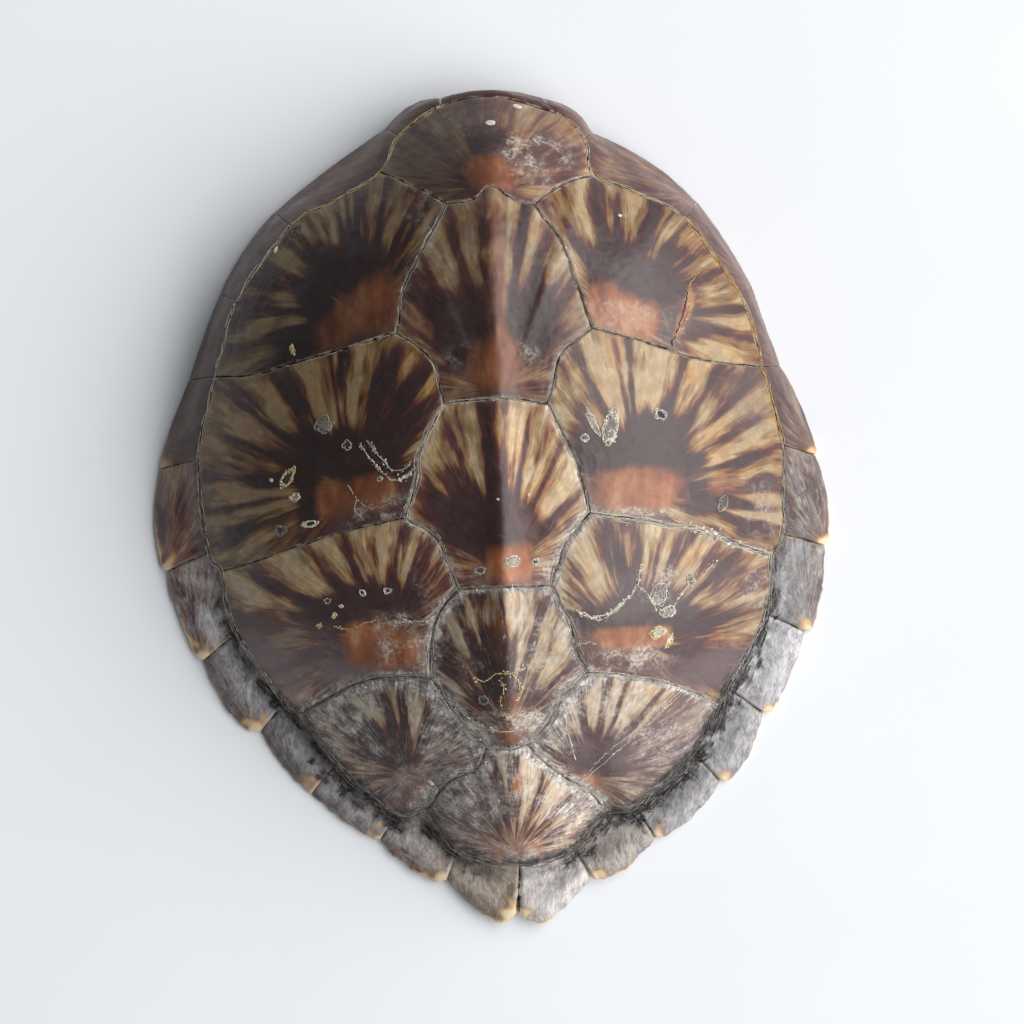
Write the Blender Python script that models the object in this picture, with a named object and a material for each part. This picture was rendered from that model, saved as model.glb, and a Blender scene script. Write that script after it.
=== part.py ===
"""Dry shell of a sea turtle, lying on its rim: a domed bone carapace and the 38 horn scutes on it.

Every outline is drawn in plan, looking down on the shell, in millimetres: +Y runs to the neck,
+X to the animal's right, and the origin lies on the resting surface under the middle of the
shell's box. The dome's height is a formula of the distance from its crown to its ring, the closed
line where the side scutes meet the rim scutes.
"""

import math

import bmesh
import bpy
from mathutils import Vector

MM = 0.001

# Thicknesses and gaps.
HORN = 1.8
LIP_HORN = 1.5
BONE = 3.6
BONE_AT_RING = 4.6
HORN_TO_BONE = 0.4
SEAM = 0.3
WELD = 1e-6

# The dome.
CROWN = Vector((4.0, 36.0))
CROWN_HEIGHT = 87.0
DOME_POWER = 2.25
KEEL_X = 4.2
KEEL_RISE = 2.2
KEEL_HALF_WIDTH = 6.5
SLOPE_STEP = 0.5

# The rim. Its lower edge is given for the seams 0 to 12 from the neck to the tail. The fifth and
# the ninth rim scute of each side have worn flat where the shell rests.
RIM_BASE = (10.0, 6.5, 2.5, 1.2, 0.0, 0.0, 0.8, 1.0, 0.0, 0.0, 1.0, 2.0, 3.0)
NECK_BASE = 12.0
EDGE_HEIGHT = 1.6
EDGE_BEVEL = 0.6
LIP_AT_SIDE = 7.5
LIP_AT_TAIL = 11.5
FOLD_ANGLE = math.radians(62)
LEAST_NOTCH = 1.5
BOW_FRONT = 1.5
BOW_TAIL = -2.2
OUTER_BOW = 0.9
FRONT_Y = 60.0
TAIL_Y = -50.0

# Lengths of the facets.
RING_STEP = 15.0
SEAM_STEP = 15.0
TIP_LENGTH = 4.0
DENSE_CUTS = 10
SCUTE_LOOPS = (0.66, 0.33)
INSIDE_LOOPS = (0.68, 0.36)

# The ring, as (marks, x, y, height) from the neck to the tail on each side. M0 to M12 are the
# ends of the rim scutes' seams; C1 to C4 are where a costal scute begins, and V5 the last vertebral.
RING_NECK = ("", 6.0, 171.5, 23.0)
RING_TAIL = ("M12", 6.5, -149.5, 12.0)
RING_LEFT = (
    ("M0", -15.0, 168.0, 24.0),
    ("M1", -32.5, 156.0, 30.0),
    ("C1", -40.5, 140.5, 38.0),
    ("", -60.5, 129.0, 37.0),
    ("M2", -78.0, 120.0, 36.0),
    ("M3", -101.5, 90.0, 34.0),
    ("M4 C2", -112.0, 59.0, 30.0),
    ("M5", -120.5, 25.0, 27.0),
    ("M6", -117.5, -13.5, 24.0),
    ("C3", -113.5, -22.0, 23.0),
    ("M7", -107.5, -47.5, 21.0),
    ("M8", -89.0, -77.0, 17.0),
    ("C4", -83.0, -82.5, 16.0),
    ("M9", -68.5, -103.5, 14.0),
    ("M10", -43.5, -126.0, 12.0),
    ("V5", -31.5, -125.5, 12.5),
    ("M11", -19.5, -142.5, 11.5),
)
RING_RIGHT = (
    ("M0", 33.0, 163.5, 24.0),
    ("M1", 44.0, 152.0, 30.0),
    ("C1", 47.5, 136.0, 38.0),
    ("", 66.0, 128.0, 37.0),
    ("M2", 84.5, 117.0, 36.0),
    ("M3", 106.0, 85.0, 34.0),
    ("M4 C2", 114.5, 55.0, 30.0),
    ("M5", 121.5, 22.5, 27.0),
    ("M6", 120.5, -14.5, 24.0),
    ("C3", 116.0, -23.0, 23.0),
    ("M7", 112.5, -47.5, 21.0),
    ("M8", 96.0, -78.0, 17.0),
    ("C4", 92.0, -85.5, 16.0),
    ("M9", 80.5, -104.5, 14.0),
    ("M10", 55.5, -126.5, 12.0),
    ("V5", 43.5, -128.0, 12.5),
    ("M11", 29.0, -143.0, 11.5),
)

# The rim scutes' outer edges, as (start, middle, tip) from the neck to the tail.
NECK_EDGE = ((28.0, 171.0), (6.0, 175.0), (-15.0, 172.5))
TAIL_NOTCH = (5.0, -169.5)
EDGES_LEFT = (
    ((-15.0, 172.5), (-27.0, 170.5), (-38.0, 161.5)),
    ((-38.5, 161.0), (-63.5, 145.0), (-85.5, 128.5)),
    ((-86.5, 128.0), (-99.5, 113.0), (-110.0, 95.5)),
    ((-110.5, 94.5), (-118.0, 77.5), (-124.5, 60.0)),
    ((-125.0, 59.0), (-133.5, 39.0), (-139.0, 22.5)),
    ((-138.5, 22.0), (-141.5, 0.5), (-139.0, -20.0)),
    ((-137.0, -21.0), (-133.5, -39.0), (-125.0, -58.5)),
    ((-123.0, -59.0), (-115.0, -78.0), (-105.0, -90.0)),
    ((-100.0, -90.0), (-92.5, -103.0), (-82.0, -116.0)),
    ((-79.5, -116.5), (-68.5, -127.5), (-54.5, -137.0)),
    ((-51.5, -137.0), (-41.5, -148.0), (-28.5, -156.0)),
    ((-24.0, -154.5), (-13.0, -167.0), (-1.5, -174.5)),
)
EDGES_RIGHT = (
    ((28.0, 171.0), (40.0, 166.0), (47.0, 157.5)),
    ((48.5, 156.0), (72.0, 143.0), (90.0, 126.5)),
    ((91.0, 126.0), (102.0, 109.5), (112.0, 91.0)),
    ((112.5, 90.5), (117.5, 74.0), (123.5, 57.0)),
    ((123.5, 56.0), (131.5, 39.5), (138.0, 19.0)),
    ((137.0, 18.0), (141.5, -1.0), (141.0, -19.5)),
    ((139.5, -20.0), (137.5, -39.0), (133.0, -56.5)),
    ((129.5, -55.5), (124.0, -72.5), (115.0, -90.0)),
    ((111.0, -89.5), (105.5, -105.0), (96.0, -117.5)),
    ((92.0, -117.5), (82.5, -130.0), (66.5, -141.0)),
    ((64.0, -140.0), (54.0, -150.5), (41.5, -157.5)),
    ((37.0, -156.0), (23.5, -169.0), (13.0, -175.5)),
)

# The seams between the scutes of the dome, each drawn from its first point to its last. A name
# in capitals is a mark on the ring.
SEAMS = {
    "v1_v2": ((-13.5, 125.0), (-2.0, 126.5), (4.5, 131.5), (12.5, 126.5), (22.0, 123.0)),
    "v2_v3": ((-17.0, 43.0), (4.5, 44.5), (24.5, 41.5)),
    "v3_v4": ((-14.5, -32.0), (5.0, -31.5), (23.5, -32.0)),
    "v4_v5": ((-5.0, -97.0), (3.5, -98.5), (11.5, -97.0)),
    "v1_c1_left": ("C1", (-32.5, 136.5), (-22.5, 131.0), (-13.5, 125.0)),
    "v1_c1_right": ("C1", (33.0, 131.5), (22.0, 123.0)),
    "v2_c1_left": ((-13.5, 125.0), (-22.5, 108.5), (-32.0, 90.0), (-35.0, 72.5)),
    "v2_c1_right": ((22.0, 123.0), (33.0, 107.0), (38.5, 89.5), (43.5, 71.5)),
    "v2_c2_left": ((-35.0, 72.5), (-22.0, 61.5), (-19.0, 52.5), (-17.0, 43.0)),
    "v2_c2_right": ((43.5, 71.5), (31.0, 61.5), (27.0, 49.0), (24.5, 41.5)),
    "v3_c2_left": ((-17.0, 43.0), (-27.0, 24.5), (-30.0, 11.0), (-34.5, -2.5)),
    "v3_c2_right": ((24.5, 41.5), (34.5, 19.5), (37.5, 8.5), (40.0, -3.0)),
    "v3_c3_left": ((-34.5, -2.5), (-23.0, -10.0), (-18.0, -20.5), (-14.5, -32.0)),
    "v3_c3_right": ((40.0, -3.0), (30.5, -14.0), (26.5, -23.5), (23.5, -32.0)),
    "v4_c3_left": ((-14.5, -32.0), (-23.0, -42.5), (-26.5, -56.0), (-27.0, -68.0)),
    "v4_c3_right": ((23.5, -32.0), (30.5, -46.5), (33.0, -59.0), (37.0, -67.5)),
    "v4_c4_left": ((-27.0, -68.0), (-21.0, -78.0), (-12.5, -90.5), (-5.0, -97.0)),
    "v4_c4_right": ((37.0, -67.5), (26.0, -79.0), (20.0, -88.5), (11.5, -97.0)),
    "v5_c4_left": ((-5.0, -97.0), (-10.0, -106.5), (-22.5, -113.0), "V5"),
    "v5_c4_right": ((11.5, -97.0), (22.5, -108.5), (36.5, -118.5), "V5"),
    "c1_c2_left": ((-35.0, 72.5), (-54.5, 67.5), (-79.5, 62.0), (-96.5, 58.5), "C2"),
    "c1_c2_right": ((43.5, 71.5), (63.0, 66.0), (83.5, 59.0), (98.0, 56.5), "C2"),
    "c2_c3_left": ((-34.5, -2.5), (-57.0, -6.5), (-82.0, -13.0), (-99.5, -18.5), "C3"),
    "c2_c3_right": ((40.0, -3.0), (64.0, -7.0), (85.0, -11.5), (99.5, -18.0), "C3"),
    "c3_c4_left": ((-27.0, -68.0), (-43.0, -67.0), (-60.0, -70.5), "C4"),
    "c3_c4_right": ((37.0, -67.5), (58.5, -71.0), (79.0, -77.5), "C4"),
}

HORN_BROWN = (0.12, 0.055, 0.028, 1.0)
RIM_BROWN = (0.085, 0.045, 0.03, 1.0)
BONE_CREAM = (0.66, 0.57, 0.42, 1.0)


def clear_scene():
    for thing in list(bpy.data.objects):
        bpy.data.objects.remove(thing, do_unlink=True)


def make_material(name, colour, roughness):
    material = bpy.data.materials.new(name)
    material.use_nodes = True
    shader = material.node_tree.nodes["Principled BSDF"]
    shader.inputs["Base Color"].default_value = colour
    shader.inputs["Roughness"].default_value = roughness
    shader.inputs["Metallic"].default_value = 0.0
    material.diffuse_color = colour
    return material


def on_curve(before, start, end, after, t):
    """A point on the smooth curve from start to end, which runs on to its neighbours."""
    linear = end - before
    square = 2 * before - 5 * start + 4 * end - after
    cube = 3 * start - before - 3 * end + after
    return start + 0.5 * (linear * t + square * t * t + cube * t * t * t)


def through(points, step):
    """Points about a step apart on a smooth open curve through the given points."""
    ends = [2 * points[0] - points[1]] + points + [2 * points[-1] - points[-2]]
    found = [points[0]]
    for k in range(1, len(ends) - 2):
        cuts = max(1, round((ends[k + 1] - ends[k]).length / step))
        for cut in range(1, cuts + 1):
            found.append(on_curve(ends[k - 1], ends[k], ends[k + 1], ends[k + 2], cut / cuts))
    return found


class Ring:
    """The closed line between the dome and the rim, counter-clockwise from the neck."""

    def __init__(self):
        self.knots = [(RING_NECK, "")]
        self.knots += [(row, "left") for row in RING_LEFT]
        self.knots += [(RING_TAIL, "tail")]
        self.knots += [(row, "right") for row in reversed(RING_RIGHT)]
        self.points = [Vector(row[1:]) for row, side in self.knots]
        self.stations = []
        self.marks = {}
        for k in range(len(self.knots)):
            self.lay_stations(k)
        dense = [self.at(k, cut / DENSE_CUTS) for k in range(len(self.knots)) for cut in range(DENSE_CUTS)]
        polar = []
        for point in dense:
            arm = point.xy - CROWN
            polar.append((math.atan2(arm.y, arm.x), arm.length, point.z))
        polar.sort()
        first, last = polar[0], polar[-1]
        turn = 2 * math.pi
        polar.insert(0, (last[0] - turn, last[1], last[2]))
        polar.append((first[0] + turn, first[1], first[2]))
        self.polar = polar

    def at(self, k, t):
        count = len(self.points)
        four = [self.points[(k + shift) % count] for shift in (-1, 0, 1, 2)]
        return on_curve(*four, t)

    def lay_stations(self, k):
        """Stations from knot k up to the next one, with one more a tip's length from a rear corner."""
        (marks, *place), side = self.knots[k]
        (next_marks, *next_place), next_side = self.knots[(k + 1) % len(self.knots)]
        for mark in marks.split():
            self.marks[mark, side] = len(self.stations)
        length = (Vector(next_place) - Vector(place)).length
        cuts = max(1, round(length / RING_STEP))
        shares = [cut / cuts for cut in range(cuts)]
        tip = TIP_LENGTH / length
        if "M" in next_marks and (side == "left" or next_side == "left"):
            shares.append(1 - tip)
        if "M" in marks and side in ("right", "tail"):
            shares.insert(1, tip)
        self.stations += [self.at(k, share) for share in shares]

    def find(self, mark, side):
        if (mark, side) in self.marks:
            return self.marks[mark, side]
        return self.marks[mark, "tail"]

    def walk(self, start, end, forwards):
        """The numbers of the stations from start to end, both included."""
        count = len(self.stations)
        numbers = [start]
        while numbers[-1] != end:
            numbers.append((numbers[-1] + (1 if forwards else -1)) % count)
        return numbers

    def reach(self, place):
        """How far the ring is from the crown on the ray through a place, and its height there."""
        arm = place - CROWN
        angle = math.atan2(arm.y, arm.x)
        low, high = 0, len(self.polar) - 1
        while high - low > 1:
            middle = (low + high) // 2
            if self.polar[middle][0] <= angle:
                low = middle
            else:
                high = middle
        here, there = self.polar[low], self.polar[high]
        share = (angle - here[0]) / (there[0] - here[0])
        return here[1] + share * (there[1] - here[1]), here[2] + share * (there[2] - here[2])


def dome_height(ring, place):
    distance = (place - CROWN).length
    if distance == 0:
        return CROWN_HEIGHT + KEEL_RISE
    radius, edge_height = ring.reach(place)
    share = distance / radius
    keel = KEEL_RISE * math.exp(-(((place.x - KEEL_X) / KEEL_HALF_WIDTH) ** 2)) * max(0.0, 1 - share**4)
    return edge_height + (CROWN_HEIGHT - edge_height) * (1 - share**DOME_POWER) + keel


def on_dome(ring, place):
    """The dome's surface point and its outward normal over a place in plan."""
    height = dome_height(ring, place)
    along_x = dome_height(ring, place + Vector((SLOPE_STEP, 0))) - height
    along_y = dome_height(ring, place + Vector((0, SLOPE_STEP))) - height
    normal = Vector((-along_x, -along_y, SLOPE_STEP)).normalized()
    return Vector((place.x, place.y, height)), normal


def blend_by_y(front, tail, y):
    share = min(1.0, max(0.0, (FRONT_Y - y) / (FRONT_Y - TAIL_Y)))
    return front + (tail - front) * share


class Section:
    """A cut through the rim, from the ring out to the edge, round it and back under as the lip."""

    def __init__(self, ring, inner, edge, base):
        self.inner = inner
        out = (edge - inner.xy).normalized()
        reach = (edge - inner.xy).length
        top = base + EDGE_HEIGHT
        length = math.hypot(reach, inner.z - top)
        along = Vector((reach / length, (top - inner.z) / length))
        face = Vector((-along.y, along.x))
        start = Vector((0.0, inner.z))
        bow = blend_by_y(BOW_FRONT, BOW_TAIL, inner.y)
        lip = blend_by_y(LIP_AT_SIDE, LIP_AT_TAIL, inner.y)
        near = start + along * length / 3 + face * bow
        far = start + along * length * 2 / 3 + face * OUTER_BOW
        tip = Vector((reach, top))
        foot = Vector((reach - EDGE_BEVEL, base))
        rise = max(0.0, math.atan2(inner.z - top, reach) - FOLD_ANGLE)
        back = Vector((-math.cos(rise), math.sin(rise)))
        upward = Vector((math.sin(rise), math.cos(rise)))
        lip_end = foot + back * lip
        lip_top = lip_end + upward * LIP_HORN
        slope = (tip - far).normalized()
        slope_face = Vector((-slope.y, slope.x))
        self.normal = (on_dome(ring, inner.xy)[1] + self.lift(out, face)).normalized()
        self.near, self.far, self.tip, self.foot, self.lip_end, self.lip_top = (
            self.place(out, point) for point in (near, far, tip, foot, lip_end, lip_top)
        )
        self.near_face = self.lift(out, face)
        self.far_face = self.lift(out, (face + slope_face).normalized())
        self.lip_up = self.lift(out, upward)
        self.notch = self.place(out, meet(far, slope, slope_face, HORN, lip_end, back, upward, LIP_HORN))
        bone_horn = HORN + HORN_TO_BONE
        bone_lip = LIP_HORN + HORN_TO_BONE
        self.bone_edge = self.place(
            out, meet(far, slope, slope_face, bone_horn, lip_end, back, upward, bone_lip)
        )

    def lift(self, out, flat):
        return Vector((out.x * flat.x, out.y * flat.x, flat.y))

    def place(self, out, flat):
        return Vector((self.inner.x + out.x * flat.x, self.inner.y + out.y * flat.x, flat.y))

    def outer_side(self):
        return [self.inner, self.near, self.far, self.tip, self.foot, self.lip_end]

    def inner_wall(self):
        return [
            self.inner - self.normal * HORN,
            self.near - self.near_face * HORN,
            self.far - self.far_face * HORN,
        ]

    def horn_loop(self):
        return self.outer_side() + [self.lip_top, self.notch] + self.inner_wall()[::-1]

    def cap(self):
        """The flat end of the horn, as faces between its outer and its inner side."""
        outer = self.outer_side()
        inner = self.inner_wall() + [self.notch, self.notch, self.lip_top]
        faces = strips(outer, inner)
        return [face[:-1] if face[-1] == face[-2] else face for face in faces]

    def bone_chain(self):
        depth = HORN + HORN_TO_BONE
        return [
            self.inner - self.normal * depth,
            self.near - self.near_face * depth,
            self.far - self.far_face * depth,
            self.bone_edge,
            self.lip_top + self.lip_up * HORN_TO_BONE,
            self.inner - self.normal * (depth + BONE_AT_RING),
        ]


def meet(far, slope, slope_face, depth, lip_end, back, upward, lip_depth):
    """Where the underside of the upper horn meets the upper side of the lip, kept over the lip."""
    above = far - slope_face * depth
    below = lip_end + upward * lip_depth
    across = slope.x * -back.y - slope.y * -back.x
    gap = below - above
    run = (gap.x * -back.y - gap.y * -back.x) / across
    point = above + slope * run
    over = (point - below).dot(-back)
    if over < LEAST_NOTCH:
        point = below - back * LEAST_NOTCH
    return point


def mesh_object(name, faces, material):
    """A closed object from loose faces, each a list of points in millimetres."""
    shape = bmesh.new()
    for face in faces:
        corners = [shape.verts.new(point * MM) for point in face]
        shape.faces.new(corners)
    bmesh.ops.remove_doubles(shape, verts=shape.verts, dist=WELD)
    bmesh.ops.triangulate(shape, faces=shape.faces)
    bmesh.ops.recalc_face_normals(shape, faces=shape.faces)
    mesh = bpy.data.meshes.new(name)
    shape.to_mesh(mesh)
    shape.free()
    mesh.materials.append(material)
    thing = bpy.data.objects.new(name, mesh)
    bpy.context.collection.objects.link(thing)
    return thing


def strips(first, second):
    """Quads between two open rows of points."""
    return [
        [first[k], first[k + 1], second[k + 1], second[k]]
        for k in range(len(first) - 1)
    ]


def fan_faces(loops, middle):
    """Quads between closed loops, from the outer one in, and triangles to the middle."""
    faces = []
    for outer, inner in zip(loops, loops[1:]):
        faces += strips(outer + outer[:1], inner + inner[:1])
    last = loops[-1]
    for k, point in enumerate(last):
        faces.append([point, last[(k + 1) % len(last)], middle])
    return faces


def drop(pairs, depth):
    return [point - normal * depth for point, normal in pairs]


def outline_loops(ring, outline):
    """The loops of a scute from its outline inwards, as (point, normal) pairs, and its middle."""
    middle = sum((point.xy for point, normal in outline), Vector((0, 0))) / len(outline)
    loops = [outline]
    for share in SCUTE_LOOPS:
        loops.append([on_dome(ring, middle + (point.xy - middle) * share) for point, normal in outline])
    return loops, on_dome(ring, middle)


def drawn_in(outline):
    """The outline moved in by half a seam."""
    moved = []
    middle = sum((point.xy for point, normal in outline), Vector((0, 0))) / len(outline)
    for k, (point, normal) in enumerate(outline):
        along = outline[(k + 1) % len(outline)][0] - outline[k - 1][0]
        inward = normal.cross(along).normalized()
        if inward.xy.dot(middle - point.xy) < 0:
            inward = -inward
        moved.append((point + inward * SEAM / 2, normal))
    return moved


def dome_outlines(ring, sections):
    """The outline of each scute of the dome, as (point, normal) pairs round it."""
    rows = {}
    for name, points in SEAMS.items():
        side = name.rsplit("_", 1)[1]
        corners = []
        for point in points:
            if isinstance(point, str):
                corners.append(ring.stations[ring.find(point, side)].xy)
            else:
                corners.append(Vector(point))
        row = [on_dome(ring, place) for place in through(corners, SEAM_STEP)]
        if isinstance(points[0], str):
            row[0] = sections[ring.find(points[0], side)]
        if isinstance(points[-1], str):
            row[-1] = sections[ring.find(points[-1], side)]
        rows[name] = row

    def along_ring(start, start_side, end, end_side):
        numbers = ring.walk(ring.find(start, start_side), ring.find(end, end_side), True)
        return [sections[number] for number in numbers]

    def around(*parts):
        outline = []
        for part in parts:
            outline += part[:-1]
        return outline

    def back(name):
        return rows[name][::-1]

    found = {
        "vertebral_1": around(
            along_ring("C1", "right", "C1", "left"), rows["v1_c1_left"], rows["v1_v2"], back("v1_c1_right")
        ),
        "vertebral_2": around(
            back("v1_v2"), rows["v2_c1_left"], rows["v2_c2_left"], rows["v2_v3"],
            back("v2_c2_right"), back("v2_c1_right"),
        ),
        "vertebral_3": around(
            back("v2_v3"), rows["v3_c2_left"], rows["v3_c3_left"], rows["v3_v4"],
            back("v3_c3_right"), back("v3_c2_right"),
        ),
        "vertebral_4": around(
            back("v3_v4"), rows["v4_c3_left"], rows["v4_c4_left"], rows["v4_v5"],
            back("v4_c4_right"), back("v4_c3_right"),
        ),
        "vertebral_5": around(
            back("v4_v5"), rows["v5_c4_left"], along_ring("V5", "left", "V5", "right"), back("v5_c4_right")
        ),
    }
    for side in ("left", "right"):
        rims = []
        for start, end in (("C1", "C2"), ("C2", "C3"), ("C3", "C4"), ("C4", "V5")):
            if side == "left":
                rims.append(along_ring(start, side, end, side))
            else:
                rims.append(along_ring(end, side, start, side)[::-1])
        found[f"costal_{side}_1"] = around(
            rims[0], back(f"c1_c2_{side}"), back(f"v2_c1_{side}"), back(f"v1_c1_{side}")
        )
        found[f"costal_{side}_2"] = around(
            rims[1], back(f"c2_c3_{side}"), back(f"v3_c2_{side}"), back(f"v2_c2_{side}"),
            rows[f"c1_c2_{side}"],
        )
        found[f"costal_{side}_3"] = around(
            rims[2], back(f"c3_c4_{side}"), back(f"v4_c3_{side}"), back(f"v3_c3_{side}"),
            rows[f"c2_c3_{side}"],
        )
        found[f"costal_{side}_4"] = around(
            rims[3], back(f"v5_c4_{side}"), back(f"v4_c4_{side}"), rows[f"c3_c4_{side}"]
        )
    return found


def dome_scute(ring, name, outline, material):
    loops, middle = outline_loops(ring, drawn_in(outline))
    top = [drop(loop, 0) for loop in loops]
    under = [drop(loop, HORN) for loop in loops]
    faces = fan_faces(top, middle[0])
    faces += fan_faces(under, middle[0] - middle[1] * HORN)
    faces += strips(top[0] + top[0][:1], under[0] + under[0][:1])
    return mesh_object(name, faces, material)


def edge_places(start, middle, tip, count):
    """Places evenly spread on the curve of a rim scute's outer edge, from its start to its tip."""
    places = []
    for k in range(count):
        t = k / (count - 1)
        bend = 2 * Vector(middle) - (Vector(start) + Vector(tip)) / 2
        places.append((1 - t) ** 2 * Vector(start) + 2 * t * (1 - t) * bend + t * t * Vector(tip))
    return places


def rim_plan(ring):
    """For each rim scute, the numbers of its stations and the edge place and base of each."""
    plan = {}
    neck = ring.walk(ring.find("M0", "right"), ring.find("M0", "left"), True)
    rows = []
    places = edge_places(*NECK_EDGE, len(neck))
    for k, (number, place) in enumerate(zip(neck, places)):
        arch = 1 - abs(2 * k / (len(neck) - 1) - 1)
        rows.append((number, place, RIM_BASE[0] + (NECK_BASE - RIM_BASE[0]) * arch))
    plan["nuchal"] = rows
    for side, edges in (("left", EDGES_LEFT), ("right", EDGES_RIGHT)):
        for n, edge in enumerate(edges):
            name = f"marginal_{side}_{n + 1}" if n < len(edges) - 1 else f"supracaudal_{side}"
            notch = edges[n + 1][0] if n < len(edges) - 1 else TAIL_NOTCH
            numbers = ring.walk(ring.find(f"M{n}", side), ring.find(f"M{n + 1}", side), side == "left")
            places = edge_places(*edge, len(numbers) - 1) + [Vector(notch)]
            rows = []
            for k, (number, place) in enumerate(zip(numbers, places)):
                share = k / (len(numbers) - 1)
                rows.append((number, place, RIM_BASE[n] + (RIM_BASE[n + 1] - RIM_BASE[n]) * share))
            plan[name] = rows
    return plan


def rim_scute(ring, name, rows, material):
    """A rim scute: a row of sections, with the first and last moved in by half a seam."""
    cuts = []
    for k, (number, place, base) in enumerate(rows):
        inner = ring.stations[number]
        if k in (0, len(rows) - 1):
            beside = rows[1] if k == 0 else rows[-2]
            next_inner = ring.stations[beside[0]]
            inner = inner + (next_inner - inner).normalized() * SEAM / 2
            place = place + (beside[1] - place).normalized() * SEAM / 2
        outward = (place - inner.xy).normalized()
        moved = inner + Vector((outward.x, outward.y, 0)) * SEAM / 2
        cuts.append(Section(ring, moved, place, base))
    loops = [cut.horn_loop() for cut in cuts]
    faces = cuts[0].cap() + cuts[-1].cap()
    for first, second in zip(loops, loops[1:]):
        faces += strips(first + first[:1], second + second[:1])
    return mesh_object(name, faces, material)


def bone_carapace(ring, sections, outlines, rim_sections, material):
    """The bone under all scutes: the dome's top, the rim and the hollow inside."""
    depth = HORN + HORN_TO_BONE
    faces = []
    for outline in outlines.values():
        loops, middle = outline_loops(ring, outline)
        faces += fan_faces([drop(loop, depth) for loop in loops], middle[0] - middle[1] * depth)
    chains = [section.bone_chain() for section in rim_sections]
    for first, second in zip(chains, chains[1:] + chains[:1]):
        faces += strips(first, second)
    inside = [[chain[-1] for chain in chains]]
    for share in INSIDE_LOOPS:
        row = []
        for station in ring.stations:
            point, normal = on_dome(ring, CROWN + (station.xy - CROWN) * share)
            row.append(point - normal * (depth + BONE))
        inside.append(row)
    top, upward = on_dome(ring, CROWN)
    faces += fan_faces(inside, top - upward * (depth + BONE))
    return mesh_object("bone_carapace", faces, material)


def main():
    clear_scene()
    dome_horn = make_material("mottled_horn", HORN_BROWN, 0.4)
    rim_horn = make_material("rim_horn", RIM_BROWN, 0.45)
    bone = make_material("dry_bone", BONE_CREAM, 0.75)
    ring = Ring()
    plan = rim_plan(ring)
    by_station = {}
    for rows in plan.values():
        for number, place, base in rows:
            by_station[number] = Section(ring, ring.stations[number], place, base)
    rim_sections = [by_station[number] for number in range(len(ring.stations))]
    sections = [(section.inner, section.normal) for section in rim_sections]
    outlines = dome_outlines(ring, sections)
    for name, outline in outlines.items():
        dome_scute(ring, name, outline, dome_horn)
    for name, rows in plan.items():
        rim_scute(ring, name, rows, rim_horn)
    bone_carapace(ring, sections, outlines, rim_sections, bone)


main()
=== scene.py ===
import math

import bmesh
import bpy
import numpy as np
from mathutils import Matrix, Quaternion, Vector, kdtree, noise


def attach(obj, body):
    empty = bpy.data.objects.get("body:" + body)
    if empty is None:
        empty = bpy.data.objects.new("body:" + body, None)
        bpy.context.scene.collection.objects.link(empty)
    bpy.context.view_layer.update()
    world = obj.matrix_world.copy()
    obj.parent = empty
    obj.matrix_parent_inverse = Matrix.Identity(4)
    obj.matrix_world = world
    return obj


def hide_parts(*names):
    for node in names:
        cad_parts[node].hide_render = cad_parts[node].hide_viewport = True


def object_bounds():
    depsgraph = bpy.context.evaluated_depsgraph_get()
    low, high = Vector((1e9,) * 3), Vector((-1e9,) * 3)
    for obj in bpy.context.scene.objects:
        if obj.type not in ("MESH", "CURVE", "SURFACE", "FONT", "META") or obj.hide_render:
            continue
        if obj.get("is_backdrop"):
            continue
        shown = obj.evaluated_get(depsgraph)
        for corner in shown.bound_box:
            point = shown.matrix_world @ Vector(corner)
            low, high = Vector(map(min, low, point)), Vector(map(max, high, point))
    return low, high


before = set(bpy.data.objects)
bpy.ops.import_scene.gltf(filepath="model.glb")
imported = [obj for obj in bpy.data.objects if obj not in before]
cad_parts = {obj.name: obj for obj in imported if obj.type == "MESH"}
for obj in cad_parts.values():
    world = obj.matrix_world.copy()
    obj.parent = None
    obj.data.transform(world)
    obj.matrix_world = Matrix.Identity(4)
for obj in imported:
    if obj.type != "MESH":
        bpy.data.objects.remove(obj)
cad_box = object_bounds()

# ---------------------------------------------------------------------------------------------
# Bone carapace. Ribs, spine and rim plates grown together into one domed plate about 4 mm thick.
# The horn grows on its upper side; inside, the ribs and the row of vertebrae stand proud.
# Places are in millimetres, seen from above: +Y to the neck, +X to the animal's right.

MM = 0.001
CROWN = np.array((4.0, 36.0))
CROWN_HEIGHT = 87.0
DOME_POWER = 2.25
KEEL_X = 4.2
KEEL_RISE = 2.2
KEEL_HALF_WIDTH = 6.5
HORN = 1.8
LIP_HORN = 1.5
HORN_TO_BONE = 0.4
BONE = 3.6
BONE_AT_RING = 4.6

# The ring where the dome meets the rim: marks, x, y, height. M0 to M12 are seams of the rim,
# C1 to C4 the first points of the costal scutes, V5 those of the last vertebral.
RING_NECK = (("", 6.0, 171.5, 23.0),)
RING_TAIL = (("M12", 6.5, -149.5, 12.0),)
RING_LEFT = (
    ("M0", -15.0, 168.0, 24.0), ("M1", -32.5, 156.0, 30.0), ("C1", -40.5, 140.5, 38.0),
    ("", -60.5, 129.0, 37.0), ("M2", -78.0, 120.0, 36.0), ("M3", -101.5, 90.0, 34.0),
    ("M4 C2", -112.0, 59.0, 30.0), ("M5", -120.5, 25.0, 27.0), ("M6", -117.5, -13.5, 24.0),
    ("C3", -113.5, -22.0, 23.0), ("M7", -107.5, -47.5, 21.0), ("M8", -89.0, -77.0, 17.0),
    ("C4", -83.0, -82.5, 16.0), ("M9", -68.5, -103.5, 14.0), ("M10", -43.5, -126.0, 12.0),
    ("V5", -31.5, -125.5, 12.5), ("M11", -19.5, -142.5, 11.5),
)
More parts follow.
